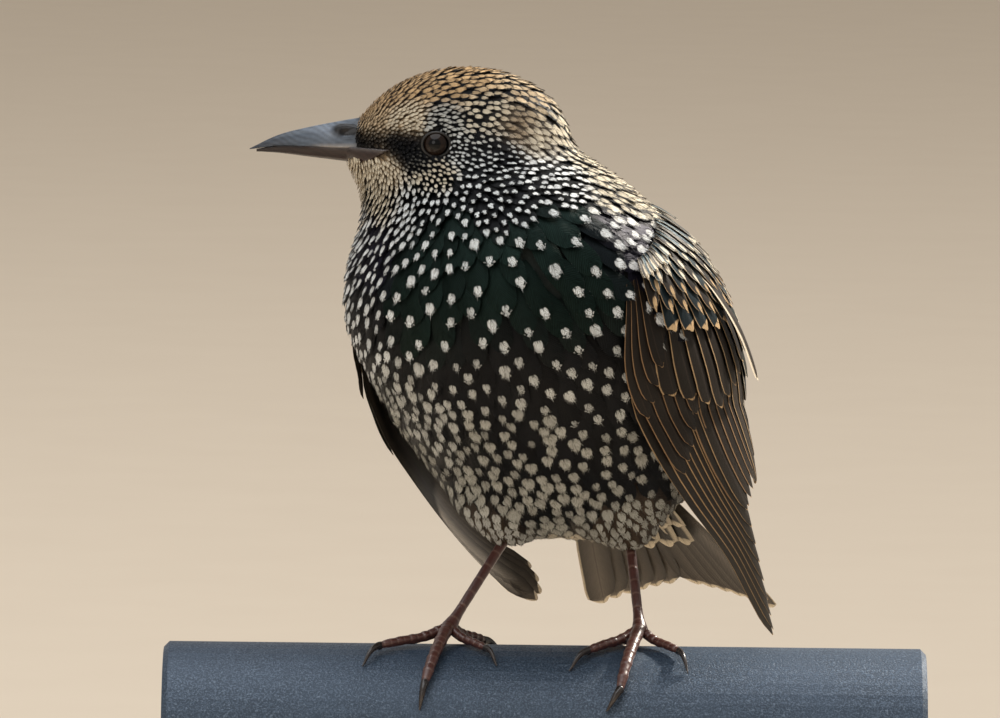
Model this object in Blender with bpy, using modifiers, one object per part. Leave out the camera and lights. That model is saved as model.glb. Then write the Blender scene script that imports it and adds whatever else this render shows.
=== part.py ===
"""A life-size starling in winter plumage, perched on a short length of round rail on a display stand.

Sizes are in millimetres and become metres where a mesh is made. Bird space has its origin on the
crest of the rail, between the feet: +X is to the right as one faces the bird, +Y is away, +Z is up.
The body has its own axes in it: side (towards the bird's left), back and up, turned by BODY_TURN.
"""

import math

import bmesh
import bpy
import numpy as np
from mathutils import Matrix, Vector

MM = 0.001
GAP = 0.3

# The stand: a flat base, two rods and the length of rail that the bird grips.
BASE_SIZE = (124.0, 92.0, 9.0)
BASE_CORNER = 14.0
BASE_SHIFT_BACK = 13.0
ROD_RADIUS = 4.0
ROD_HEIGHT = 16.0
ROD_SPREAD = 44.0
ROD_SIDES = 20
RAIL_RADIUS = 21.2
RAIL_LENGTH = 168.0
RAIL_CENTRE_X = 4.0
RAIL_EDGE = 1.2
RAIL_SIDES = 48
BASE_EDGE = 1.5
RAIL_TOP = BASE_SIZE[2] + GAP + ROD_HEIGHT + GAP + 2 * RAIL_RADIUS

# How the bird stands: the body's turn to its right, and where its midline crosses the rail.
BODY_TURN = math.radians(22.5)
BODY_X = 1.0

# The trunk, an egg that leans back from the legs.
TRUNK_CENTRE = (-1.5, 9.0, 64.5)
TRUNK_LENGTH = 104.0
TRUNK_DEPTH = 64.0
TRUNK_WIDTH = 76.0
TRUNK_PITCH = math.radians(43.0)

# The tail, in the body's axes.
TAIL_ROOT = (0.0, 43.0, 40.0)
TAIL_TIP = (0.5, 89.0, 4.2)
TAIL_PITCH = math.atan2(TAIL_ROOT[2] - TAIL_TIP[2], TAIL_TIP[1] - TAIL_ROOT[1])
TAIL_HALF_ROOT = 7.0
TAIL_HALF_TIP = 24.0
TAIL_ARCH = 2.6
TAIL_NOTCH = 0.1
TAIL_LUMP = np.array([17.0, 8.5, 3.6])
TAIL_ROLL = 0.8

# The head looks to the bird's right, in side view to someone who faces the bird.
HEAD_CENTRE = (-14.3, -8.0, 113.6)
HEAD_LENGTH = 43.0
HEAD_WIDTH = 26.0
HEAD_HEIGHT = 28.6
EYE_RADIUS = 3.1
EYE_X = -21.0
EYE_Z = 111.9
EYE_STANDS_OUT = 0.9
LID_THICKNESS = 0.75

BLEND = 3.2


def body_point(side, back, up):
    """A point given along the body's own axes, in bird space."""
    c, s = math.cos(BODY_TURN), math.sin(BODY_TURN)
    return np.array([BODY_X + side * c + back * s, -side * s + back * c, up])


def body_direction(side, back, up):
    c, s = math.cos(BODY_TURN), math.sin(BODY_TURN)
    return np.array([side * c + back * s, -side * s + back * c, up])


def trunk_axes(pitch):
    """Rows: along the trunk towards the tail, to its left, and towards its back."""
    along = body_direction(0, math.cos(pitch), -math.sin(pitch))
    left = body_direction(1, 0, 0)
    dorsal = body_direction(0, math.sin(pitch), math.cos(pitch))
    return np.array([along, left, dorsal])


def head_axes(turn=0.0, pitch=0.0):
    """Rows: from the bill to the nape, to the bird's left, and up, with the bill along -X."""
    turned = np.array(Matrix.Rotation(turn, 3, "Z"))
    tipped = np.array(Matrix.Rotation(pitch, 3, "Y"))
    return np.array([[1, 0, 0], [0, -1, 0], [0, 0, 1]]) @ (turned @ tipped).T


def body_lumps():
    """The rounded masses that the body's surface blends: centre, half sizes and axes of each."""
    trunk = trunk_axes(TRUNK_PITCH)
    head = head_axes()
    half = (TRUNK_LENGTH / 2, TRUNK_WIDTH / 2, TRUNK_DEPTH / 2)
    return [
        (body_point(*TRUNK_CENTRE), half, trunk),
        (body_point(-1, 20, 60), (38, 35, 26), trunk),
        (body_point(-7.5, -9, 76), (30, 31.5, 26), trunk),
        (body_point(0, 35, 44), (22, 15, 11), trunk_axes(TAIL_PITCH)),
        (np.array([-8.5, -7.0, 95.0]), (25.0, 21, 14), head),
        (np.array([3.0, -1.0, 97.5]), (13, 15, 9), head),
        (np.array(HEAD_CENTRE), (HEAD_LENGTH / 2, HEAD_WIDTH / 2, HEAD_HEIGHT / 2), head),
        (np.array([-27.0, -8.0, 113.2]), (12.0, 6.6, 7.6), head),
        (np.array([-26.5, -8.5, 103.5]), (8.5, 9.0, 8.0), head),
    ]


LUMPS = body_lumps()


def body_distance(points):
    """About how far each point lies outside the body's surface, in millimetres."""
    total = np.zeros(len(points))
    for centre, half, axes in LUMPS:
        local = (points - centre) @ axes.T
        half = np.array(half)
        near = np.linalg.norm(local / half, axis=1) + 1e-9
        slope = np.linalg.norm(local / half**2, axis=1) + 1e-9
        total += np.exp(-np.clip(near * (near - 1) / slope, -60, 200) / BLEND)
    return -BLEND * np.log(total + 1e-60)


def body_normal(points):
    """The outward direction of the body's surface at each point."""
    step = 0.2
    slope = [
        body_distance(points + step * axis) - body_distance(points - step * axis)
        for axis in np.eye(3)
    ]
    normal = np.array(slope).T
    return normal / (np.linalg.norm(normal, axis=1, keepdims=True) + 1e-12)


def reach(origin, directions, height=0.0):
    """The point along each direction from origin that is the given height above the body."""
    low = np.zeros(len(directions))
    high = np.full(len(directions), 110.0)
    for _ in range(36):
        middle = (low + high) / 2
        outside = body_distance(origin + directions * middle[:, None]) > height
        high = np.where(outside, middle, high)
        low = np.where(outside, low, middle)
    return origin + directions * high[:, None]


def lifted(points, height):
    """The points, with those nearer the body than height moved out to it."""
    for _ in range(4):
        short = np.clip(height - body_distance(points), 0, None)
        points = points + body_normal(points) * short[:, None]
    return points


def clear_scene():
    for obj in list(bpy.data.objects):
        bpy.data.objects.remove(obj)


def collection(name):
    made = bpy.data.collections.new(name)
    bpy.context.scene.collection.children.link(made)
    return made


def material(name, colour, roughness, metallic=0.0):
    made = bpy.data.materials.new(name)
    made.use_nodes = True
    shader = made.node_tree.nodes["Principled BSDF"]
    shader.inputs["Base Color"].default_value = (*colour, 1.0)
    shader.inputs["Roughness"].default_value = roughness
    shader.inputs["Metallic"].default_value = metallic
    made.diffuse_color = (*colour, 1.0)
    return made


def to_metres(points):
    """Bird space in millimetres to the part's own frame in metres, whose origin is under the base."""
    return (np.asarray(points, float) - np.array([RAIL_CENTRE_X, BASE_SHIFT_BACK, -RAIL_TOP])) * MM


def add_object(name, bm, home, finish, smooth_angle=40.0):
    """A new object from a bmesh that is in the part's frame, in metres."""
    bmesh.ops.remove_doubles(bm, verts=bm.verts, dist=0.00002)
    bmesh.ops.recalc_face_normals(bm, faces=bm.faces)
    mesh = bpy.data.meshes.new(name)
    bm.to_mesh(mesh)
    bm.free()
    mesh.shade_smooth()
    mesh.set_sharp_from_angle(angle=math.radians(smooth_angle))
    mesh.materials.append(finish)
    obj = bpy.data.objects.new(name, mesh)
    home.objects.link(obj)
    return obj


def apply_modifiers(obj):
    graph = bpy.context.evaluated_depsgraph_get()
    baked = bpy.data.meshes.new_from_object(obj.evaluated_get(graph))
    obj.modifiers.clear()
    obj.data = baked


def keep_largest(obj):
    """Leaves only the largest closed surface of obj, which drops scraps and fills sealed hollows."""
    bm = bmesh.new()
    bm.from_mesh(obj.data)
    bmesh.ops.triangulate(bm, faces=bm.faces)
    todo = set(bm.faces)
    shells = []
    while todo:
        shell, edge = set(), [todo.pop()]
        while edge:
            face = edge.pop()
            shell.add(face)
            for link in (f for e in face.edges for f in e.link_faces if f in todo):
                todo.discard(link)
                edge.append(link)
        shells.append(shell)
    shells.sort(key=lambda faces: sum(f.calc_area() for f in faces))
    drop = [face for shell in shells[:-1] for face in shell]
    bmesh.ops.delete(bm, geom=drop, context="FACES")
    bm.to_mesh(obj.data)
    bm.free()


def boolean(obj, other, operation, solver="EXACT"):
    """Joins or cuts obj with other, an object or a collection, and applies it."""
    modifier = obj.modifiers.new("Boolean", "BOOLEAN")
    modifier.operation = operation
    modifier.solver = solver
    if isinstance(other, bpy.types.Collection):
        modifier.operand_type = "COLLECTION"
        modifier.collection = other
    else:
        modifier.object = other
    apply_modifiers(obj)


def fuse(obj, pieces, solver="MANIFOLD"):
    """Joins the pieces, a collection of closed meshes, into obj and removes them."""
    boolean(obj, pieces, "UNION", solver)
    for piece in list(pieces.objects):
        bpy.data.objects.remove(piece)
    bpy.data.collections.remove(pieces)
    keep_largest(obj)


def carve(obj, other, gap=GAP):
    """Cuts obj back until it keeps a gap to other."""
    cutter = other.copy()
    cutter.data = other.data.copy()
    bpy.context.scene.collection.objects.link(cutter)
    grown = bmesh.new()
    grown.from_mesh(cutter.data)
    grown.normal_update()
    moves = [vert.normal * gap * MM * 1.1 for vert in grown.verts]
    for vert, move in zip(grown.verts, moves):
        vert.co += move
    grown.to_mesh(cutter.data)
    grown.free()
    boolean(obj, cutter, "DIFFERENCE", "MANIFOLD")
    bpy.data.objects.remove(cutter)
    keep_largest(obj)


def cut_plane(bm, point, normal, shift):
    """Keeps what lies below the plane, moved along its normal by shift, and closes the cut."""
    normal = Vector(normal).normalized()
    point = Vector(to_metres(point)) + normal * shift * MM
    bmesh.ops.bisect_plane(
        bm, geom=bm.verts[:] + bm.edges[:] + bm.faces[:], dist=0.00002,
        plane_co=point, plane_no=normal, clear_outer=True,
    )
    rim = [edge for edge in bm.edges if edge.is_boundary]
    bmesh.ops.holes_fill(bm, edges=rim, sides=0)
    bmesh.ops.triangulate(bm, faces=[face for face in bm.faces if len(face.verts) > 4])


def cast_body(centre, pole, segments, rings):
    """A bmesh of the body's surface as seen from a centre inside it, with its poles along pole."""
    bm = bmesh.new()
    bmesh.ops.create_uvsphere(bm, u_segments=segments, v_segments=rings, radius=1.0)
    turn = Vector((0, 0, 1)).rotation_difference(Vector(pole)).to_matrix()
    bmesh.ops.transform(bm, matrix=turn.to_4x4(), verts=bm.verts)
    directions = np.array([vert.co.normalized() for vert in bm.verts])
    places = to_metres(reach(np.array(centre), directions))
    for vert, place in zip(bm.verts, places):
        vert.co = place
    return bm


def loft(rings, close_start=True, close_end=True):
    """A bmesh through rings of equal length, given in bird space, with flat or fanned ends."""
    bm = bmesh.new()
    rows = [[bm.verts.new(p) for p in to_metres(ring)] for ring in rings]
    count = len(rows[0])
    for near, far in zip(rows, rows[1:]):
        for i in range(count):
            j = (i + 1) % count
            bm.faces.new((near[i], near[j], far[j], far[i]))
    ends = [row for row, closed in ((rows[0], close_start), (rows[-1], close_end)) if closed]
    for row in ends:
        bmesh.ops.triangulate(bm, faces=[bm.faces.new(row)])
    return bm


def frame_along(path):
    """Unit directions along a path of points, and two unit directions across it at each."""
    ahead = np.gradient(path, axis=0)
    ahead /= np.linalg.norm(ahead, axis=1, keepdims=True)
    side = np.cross(ahead, np.array([0.0, 0.0, 1.0]) + 1e-6)
    weak = np.linalg.norm(side, axis=1) < 0.2
    side[weak] = np.cross(ahead[weak], np.array([1.0, 0.0, 0.0]))
    side /= np.linalg.norm(side, axis=1, keepdims=True)
    return ahead, side, np.cross(side, ahead)


def tube(path, radii, sides=8, flatten=1.0):
    """A bmesh of a round or flattened tube along a path, closed at both ends."""
    path = np.asarray(path, float)
    _, side, up = frame_along(path)
    rings = []
    for point, radius, across, over in zip(path, radii, side, up):
        turns = [2 * math.pi * i / sides for i in range(sides)]
        rings.append([
            point + radius * (math.cos(a) * across + flatten * math.sin(a) * over) for a in turns
        ])
    return loft(rings)


def curve_through(points, amounts):
    """Points on a smooth curve through evenly spaced control points, for amounts from 0 to 1."""
    points = np.asarray(points, float)
    padded = np.vstack([2 * points[0] - points[1], points, 2 * points[-1] - points[-2]])
    place = np.clip(np.asarray(amounts, float), 0, 1) * (len(points) - 1)
    start = np.minimum(place.astype(int), len(points) - 2)
    t = (place - start)[..., None]
    a, b, c, d = (padded[start + k] for k in range(4))
    return 0.5 * (
        2 * b + (c - a) * t + (2 * a - 5 * b + 4 * c - d) * t**2 + (3 * b - a - 3 * c + d) * t**3
    )


# The folded wing, in the body's axes: its lower edge, its most outward line and its upper edge,
# each from the bend of the wing to the tip. Left wing 1, right wing -1, which hangs a little wider.
WING_LOWER = {
    1: [(19, -15, 87), (24, -16, 64), (29.5, -6, 46), (31.5, 10, 33), (31.5, 38, 17), (28, 70, -3)],
    -1: [(20, 4, 88), (37, -4, 63), (36, -1, 48), (33, 14, 33), (31, 38, 17), (27, 64, 0.5)],
}
WING_OUTER = {
    1: [(23, -8, 92), (32, 8, 76), (36, 22, 58), (35.5, 36, 40), (32.5, 50, 20), (28, 73, -2)],
    -1: [(22, 6, 92), (33, 13, 75), (37, 24, 57), (35, 36, 39), (31.5, 50, 21), (24, 68, 3)],
}
WING_UPPER = {
    1: [(14, 3, 97), (12, 27, 86), (12, 43, 68), (15, 52, 50), (19, 62.5, 28), (24, 77, 5)],
    -1: [(14, 11, 95), (12, 28, 86), (12, 43, 68), (15, 51, 51), (18, 62, 30), (17, 71, 7.5)],
}
WING_WIDEST = 0.3
WING_CLEARANCE = 0.9
VANE_THICKNESS = 0.55
CORE_ALONG = (0.0, 0.52)
CORE_ACROSS = (0.03, 0.87)


def wing_sheet(side, along, across):
    """Points of a folded wing's inner sheet, for amounts along and across it from 0 to 1."""
    low, out, top = (
        curve_through(line[side], along) for line in (WING_LOWER, WING_OUTER, WING_UPPER)
    )
    v = np.asarray(across, float)[..., None]
    return low * (1 - v) * (1 - 2 * v) + out * 4 * v * (1 - v) + top * v * (2 * v - 1)


def mirrored(points, side):
    """Body-axis points for the wing or leg of one side, left as 1 and right as -1, in bird space."""
    points = np.asarray(points, float) * np.array([side, 1, 1])
    return np.array([body_point(*p) for p in points.reshape(-1, 3)])


def wing_place(side, along, across, height):
    """Points in bird space at a height over the wing's sheet, which stays clear of the body."""
    along, across = np.broadcast_arrays(np.asarray(along, float), np.asarray(across, float))
    step = 0.01
    here = mirrored(wing_sheet(side, along, across), side)
    ahead = mirrored(wing_sheet(side, np.minimum(along + step, 1), across), side) - mirrored(
        wing_sheet(side, np.maximum(along - step, 0), across), side
    )
    over = mirrored(wing_sheet(side, along, np.minimum(across + step, 1)), side) - mirrored(
        wing_sheet(side, along, np.maximum(across - step, 0)), side
    )
    normal = np.cross(ahead, over)
    outward = body_direction(side, 0.25, 0.25)
    normal *= np.sign(normal @ outward)[:, None]
    normal /= np.linalg.norm(normal, axis=1, keepdims=True) + 1e-9
    here = lifted(here, WING_CLEARANCE)
    return here + normal * np.broadcast_to(height, along.shape)[:, None]


def slab(inner, outer):
    """A closed bmesh between two grids of points in bird space, rows by columns."""
    bm = bmesh.new()
    rows, columns = inner.shape[:2]
    low = [[bm.verts.new(to_metres(p)) for p in row] for row in inner]
    top = [[bm.verts.new(to_metres(p)) for p in row] for row in outer]
    for i in range(rows - 1):
        for j in range(columns - 1):
            for grid, order in ((low, 1), (top, -1)):
                a, b, c, d = grid[i][j], grid[i + 1][j], grid[i + 1][j + 1], grid[i][j + 1]
                bm.faces.new((a, b, c)[::order])
                bm.faces.new((a, c, d)[::order])
    rim = [(i, 0) for i in range(rows)]
    rim += [(rows - 1, j) for j in range(1, columns)]
    rim += [(i, columns - 1) for i in range(rows - 2, -1, -1)]
    rim += [(0, j) for j in range(columns - 2, 0, -1)]
    for (i, j), (k, m) in zip(rim, rim[1:] + rim[:1]):
        bm.faces.new((low[i][j], top[i][j], top[k][m], low[k][m]))
    return bm


def wing_width(side, along):
    """How wide the folded wing is across, in millimetres, at each amount along it."""
    along = np.asarray(along, float)
    steps = [wing_sheet(side, along, np.full(along.shape, v)) for v in np.linspace(0, 1, 7)]
    return sum(np.linalg.norm(b - a, axis=-1) for a, b in zip(steps, steps[1:]))


# A vane's outline: amounts from its root to its tip, and its width there.
LONG_VANE = [(0, 0.6), (0.3, 0.95), (0.65, 1), (0.93, 0.85), (1, 0.35)]
TAIL_VANE = [(0, 0.6), (0.5, 1), (0.94, 0.9), (1, 0.4)]
SHORT_VANE = [(0, 0.6), (0.5, 1), (0.85, 0.88), (1, 0.35)]


def vane(grid, start, end, half_width, rise, tilt, outline, home, finish):
    """One feather: a thin closed plate from start to end, both given along and across the wing.

    grid turns amounts along, millimetres across and a height into places. rise is the height of
    the vane's top at its root and its tip, and tilt lifts its lower edge over the next feather.
    """
    amounts, widths = (np.array(column, float) for column in zip(*outline))
    along = start[0] + (end[0] - start[0]) * amounts
    across = start[1] + (end[1] - start[1]) * amounts
    height = rise[0] + (rise[1] - rise[0]) * amounts**0.8
    thickness = VANE_THICKNESS * (1 - 0.35 * amounts**3)
    offsets = np.outer(widths, [-half_width, half_width])
    tilts = np.outer(widths, [tilt, -tilt])
    spots = (np.repeat(along, 2), (across[:, None] + offsets).ravel())
    tops = (height[:, None] + tilts).ravel()
    shape = (len(amounts), 2, 3)
    outer = grid(*spots, tops).reshape(shape)
    inner = grid(*spots, tops - np.repeat(thickness, 2)).reshape(shape)
    return add_object("vane", slab(inner, outer), home, finish)


PRIMARY_SHORTER = [0, 1, 6, 12, 18, 25, 32]
WING_LENGTH = 126.0


def wing_tiers():
    """Each vane of a wing, lowest tier first: root, tip, half width, rise, tilt and outline.

    Roots and tips are an amount along the wing and the distance up from its lower edge.
    """
    tiers = []
    for i, shorter in enumerate(PRIMARY_SHORTER):
        root, tip = (0.24, 3.2 + 2.2 * i), (1 - shorter / WING_LENGTH, 3.8 + 1.5 * i)
        tiers.append((root, tip, 2.5 if i else 3.8, (0.7, 0.8 + 0.16 * i), 0.25, LONG_VANE))
    for i in range(5):
        root, tip = (0.3, 17 + 3.6 * i), (0.68 - 0.01 * i, 13.5 + 3.4 * i)
        tiers.append((root, tip, 2.9, (1.0, 1.7 + 0.08 * i), 0.3, LONG_VANE))
    for i in range(3):
        root, tip = (0.24, 37 + 5.5 * i), (0.66 - 0.06 * i, 31 + 6.0 * i)
        tiers.append((root, tip, 4.6, (1.2, 2.2 + 0.25 * i), 0.35, LONG_VANE))
    for i in range(3):
        root, tip = (0.14, 3.5 + 3.8 * i), (0.46 - 0.02 * i, 3.4 + 4.0 * i)
        tiers.append((root, tip, 2.8, (0.8, 1.6), 0.25, SHORT_VANE))
    for i in range(5):
        root, tip = (0.18, 14 + 6.4 * i), (0.44 - 0.01 * i, 15 + 7.4 * i)
        tiers.append((root, tip, 4.5, (1.2, 2.8), 0.4, SHORT_VANE))
    tiers.append(((0.08, 3.5), (0.34, 3.2), 3.0, (1.0, 2.5), 0.25, SHORT_VANE))
    for i in range(5):
        root, tip = (0.08, 9 + 6.8 * i), (0.28 - 0.01 * i, 9.5 + 8.2 * i)
        tiers.append((root, tip, 4.8, (1.6, 3.7), 0.4, SHORT_VANE))
    for i in range(4):
        root, tip = (0.02, 8 + 8.0 * i), (0.165, 8 + 10.0 * i)
        tiers.append((root, tip, 5.6, (1.8, 4.3), 0.4, SHORT_VANE))
    for i in range(6):
        root = (0.03 + 0.07 * i, 44 + 8.5 * (i % 2))
        tip = (0.21 + 0.075 * i, 45.5 + 8.5 * (i % 2))
        tiers.append((root, tip, 5.4, (1.8, 4.2 - 0.3 * i), 0.4, SHORT_VANE))
    return tiers


def add_wing(side, home, finish, torso):
    along = np.linspace(*CORE_ALONG, 9)
    across = np.linspace(*CORE_ACROSS, 6)
    grid_along, grid_across = (g.ravel() for g in np.meshgrid(along, across, indexing="ij"))
    bulge = np.sin(np.pi * grid_across) ** 0.5
    thickness = 0.35 + bulge * (0.4 + 1.7 * np.clip(1 - 2.0 * grid_along, 0, 1))
    shape = (len(along), len(across), 3)
    inner = wing_place(side, grid_along, grid_across, 0.0).reshape(shape)
    outer = wing_place(side, grid_along, grid_across, thickness).reshape(shape)
    wing = add_object("wing_left" if side > 0 else "wing_right", slab(inner, outer), home, finish)

    def grid(amounts, distances, heights):
        width = wing_width(side, np.maximum(amounts, WING_WIDEST))
        share = np.clip(distances / width, 0.005, 0.995)
        return wing_place(side, amounts, share, heights)

    vanes = collection("vanes")
    for tier in wing_tiers():
        vane(grid, *tier, vanes, finish)
    fuse(wing, vanes)
    carve(wing, torso)
    return wing


def tail_place(along, across, height):
    """Points in bird space: along from root to tip, across from -1 to 1, height over the tail."""
    along, across = np.broadcast_arrays(np.asarray(along, float), np.asarray(across, float))
    root, tip = body_point(*TAIL_ROOT), body_point(*TAIL_TIP)
    left = body_direction(1, 0, 0)
    axis = (tip - root) / np.linalg.norm(tip - root)
    over = np.cross(left, axis)
    over *= np.sign(over[2])
    half = TAIL_HALF_ROOT + (TAIL_HALF_TIP - TAIL_HALF_ROOT) * along
    notch = 1.0 + TAIL_NOTCH * np.abs(across) ** 1.5 * along
    place = root + (tip - root) * (along * notch)[:, None]
    place += left * (across * half)[:, None]
    drop = TAIL_ARCH * across**2 - TAIL_ROLL * across * along
    return place + over * (np.broadcast_to(height, along.shape) - drop)[:, None]


TAIL_FEATHERS = 12
TAIL_COVERTS = 5


def tail_grid(amounts, distances, heights):
    """Like a wing's grid: across is the distance from the tail's midline in millimetres."""
    half = TAIL_HALF_ROOT + (TAIL_HALF_TIP - TAIL_HALF_ROOT) * amounts
    return tail_place(amounts, distances / half, heights)


def add_tail(home, finish, torso):
    root = body_point(*TAIL_ROOT)
    axes = trunk_axes(TAIL_PITCH)
    bm = bmesh.new()
    bmesh.ops.create_uvsphere(bm, u_segments=12, v_segments=8, radius=1.0)
    for vert in bm.verts:
        vert.co = to_metres(root + (np.array(vert.co) * TAIL_LUMP) @ axes)
    tail = add_object("tail", bm, home, finish)
    vanes = collection("vanes")
    half = TAIL_FEATHERS // 2
    for side in (1, -1):
        for i in range(half):
            k = (half - 1 - i) / (half - 1)
            start, end = (0.02, side * 5.5 * k), (1.0, side * (3.0 + 17.2 * k))
            rise = (1.0 - 0.9 * k, 1.3 - 1.3 * k)
            vane(tail_grid, start, end, 3.1, rise, -0.22 * side, TAIL_VANE, vanes, finish)
    for i in range(TAIL_COVERTS):
        place = 2 * i / (TAIL_COVERTS - 1) - 1
        reach_to = 0.46 - 0.1 * abs(place)
        above = ((-0.05, 5 * place), (reach_to, 9 * place), 3.4, (2.6, 2.4), -0.2 * place)
        vane(tail_grid, *above, SHORT_VANE, vanes, finish)
        below = ((-0.05, 5 * place), (reach_to + 0.16, 10 * place), 3.8, (-1.7, -1.3), 0.2 * place)
        vane(tail_grid, *below, SHORT_VANE, vanes, finish)
    fuse(tail, vanes)
    carve(tail, torso)
    return tail


# The cuts that part head, neck and torso: a point of each and its upward normal.
HEAD_CUT = ((-12.0, -8.0, 101.6), (-0.09, 0.0, 1.0))
NECK_CUT = ((-6.0, -6.0, 92.6), (-0.08, 0.0, 1.0))


def add_torso(home, finish):
    bm = cast_body(body_point(0, 8, 64), trunk_axes(TRUNK_PITCH)[0], 32, 21)
    cut_plane(bm, NECK_CUT[0], NECK_CUT[1], -GAP / 2)
    return add_object("torso", bm, home, finish)


def add_neck(home, finish):
    bm = cast_body((-8.0, -6.0, 97.0), (0, 0, 1), 36, 26)
    cut_plane(bm, HEAD_CUT[0], HEAD_CUT[1], -GAP / 2)
    cut_plane(bm, NECK_CUT[0], -np.array(NECK_CUT[1]), -GAP / 2)
    return add_object("neck", bm, home, finish)


def eye_centre(side):
    """Where an eye's ball is centred: just under the head's surface, level with the gape."""
    start = np.array([EYE_X, HEAD_CENTRE[1], EYE_Z])
    surface = reach(start, np.array([[0.0, -side, 0.0]]))[0]
    return surface + np.array([0.0, side * (EYE_RADIUS - EYE_STANDS_OUT), 0.0])


def add_head(home, finish):
    bm = cast_body((-15.0, -8.0, 109.0), (1, 0, 0), 26, 17)
    cut_plane(bm, HEAD_CUT[0], -np.array(HEAD_CUT[1]), -GAP / 2)
    head = add_object("head", bm, home, finish)
    for side in (1, -1):
        centre = eye_centre(side)
        lids = collection("lids")
        ring = np.linspace(0, 2 * math.pi, 13)[:-1]
        surface = centre + np.array([0.0, -side * (EYE_RADIUS - EYE_STANDS_OUT - 0.1), 0.0])
        rim = EYE_RADIUS - 0.25
        path = [surface + rim * np.array([math.cos(a), 0, math.sin(a)]) for a in ring]
        add_ring("lid", path, LID_THICKNESS, lids, finish)
        fuse(head, lids)
        cutter = bmesh.new()
        bmesh.ops.create_uvsphere(
            cutter, u_segments=12, v_segments=8, radius=(EYE_RADIUS + GAP) * MM,
            matrix=Matrix.Translation(to_metres(centre)),
        )
        socket = add_object("socket", cutter, collection("cutters"), finish)
        boolean(head, socket, "DIFFERENCE", "MANIFOLD")
        bpy.data.objects.remove(socket)
        keep_largest(head)
    return head


def add_ring(name, path, radius, home, finish, sides=4):
    """A closed hoop of round section through a loop of points."""
    path = np.asarray(path, float)
    middle = path.mean(axis=0)
    ahead = np.roll(path, -1, axis=0) - np.roll(path, 1, axis=0)
    out = path - middle
    out /= np.linalg.norm(out, axis=1, keepdims=True)
    over = np.cross(ahead, out)
    over /= np.linalg.norm(over, axis=1, keepdims=True)
    bm = bmesh.new()
    rows = []
    for point, across, up in zip(path, out, over):
        turns = [2 * math.pi * k / sides for k in range(sides)]
        rows.append([
            bm.verts.new(to_metres(point + radius * (math.cos(a) * across + math.sin(a) * up)))
            for a in turns
        ])
    for near, far in zip(rows, rows[1:] + rows[:1]):
        for i in range(sides):
            j = (i + 1) % sides
            bm.faces.new((near[i], near[j], far[j], far[i]))
    return add_object(name, bm, home, finish)


def add_eye(side, home, finish):
    bm = bmesh.new()
    bmesh.ops.create_uvsphere(
        bm, u_segments=12, v_segments=8, radius=EYE_RADIUS * MM,
        matrix=Matrix.Translation(to_metres(eye_centre(side))) @ Matrix.Rotation(math.pi / 2, 4, "X"),
    )
    return add_object("eye_left" if side > 0 else "eye_right", bm, home, finish)


# The bill, along X from its tip into the face: height of the ridge, the mouth line and the chin edge.
BILL_TIP_X = -61.9
BILL_ROOT_X = -31.0
BILL_Y = -8.0
BILL_HALF_WIDTH = 4.9
MANDIBLE_TIP_X = -60.4
MOUTH_SLOT = (11.0, 20.0, 0.45)
NOSTRIL = np.array([-41.0, BILL_Y, 113.4])
NOSTRIL_SIDE = 3.5
NOSTRIL_HALF = (1.6, 0.8, 0.55)
RIDGE = [109.7, 112.7, 114.4, 115.7, 116.8, 117.4]
MOUTH = [109.4, 110.4, 110.5, 110.4, 110.4, 110.2]
CHIN_EDGE = [109.1, 108.8, 108.1, 107.4, 106.7, 106.4]


def bill_loft(start_x, upper, rows=9, sides=10):
    """Rings of the upper or the lower half of the bill, each flat along the mouth line."""
    rings = []
    for i in range(rows):
        t = i / (rows - 1)
        x = start_x + (BILL_ROOT_X - start_x) * t
        place = (x - BILL_TIP_X) / (BILL_ROOT_X - BILL_TIP_X)
        half = 0.22 + (BILL_HALF_WIDTH - 0.22) * place**0.8
        ridge, mouth, chin = (
            curve_through(np.array(line)[:, None], [place])[0][0] for line in (RIDGE, MOUTH, CHIN_EDGE)
        )
        flat = mouth + (GAP / 2 if upper else -GAP / 2)
        rise = (ridge - flat) if upper else (chin - flat)
        narrow = 1.0 if upper else 0.86
        ring = []
        for k in range(sides):
            a = math.pi * k / (sides - 1)
            ring.append((x, BILL_Y + narrow * half * math.cos(a), flat + rise * math.sin(a) ** 0.8))
        rings.append(ring)
    return rings


def add_bill(home, finish, head):
    upper = add_object("bill_upper", loft(bill_loft(BILL_TIP_X, True)), home, finish)
    lower = add_object("bill_lower", loft(bill_loft(MANDIBLE_TIP_X, False)), home, finish)
    for side in (1, -1):
        nostril = bmesh.new()
        place = Matrix.Translation(to_metres(NOSTRIL + np.array([0, side * NOSTRIL_SIDE, 0])))
        place = place @ Matrix.Rotation(math.radians(-14), 4, "Y")
        bmesh.ops.create_uvsphere(nostril, u_segments=10, v_segments=6, radius=MM, matrix=(
            place @ Matrix.Diagonal((*NOSTRIL_HALF, 1.0))
        ))
        cutter = add_object("nostril", nostril, collection("cutters"), finish)
        boolean(upper, cutter, "DIFFERENCE")
        bpy.data.objects.remove(cutter)
    for half in (upper, lower):
        carve(head, half)
    mouth = bmesh.new()
    middle = (BILL_ROOT_X - MOUTH_SLOT[0] / 2, BILL_Y, MOUTH[-2])
    bmesh.ops.create_cube(mouth, size=MM, matrix=(
        Matrix.Translation(to_metres(middle)) @ Matrix.Diagonal((*MOUTH_SLOT, 1.0))
    ))
    slot = add_object("slot", mouth, collection("cutters"), finish)
    boolean(head, slot, "DIFFERENCE", "MANIFOLD")
    bpy.data.objects.remove(slot)
    keep_largest(head)
    return upper, lower


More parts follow.
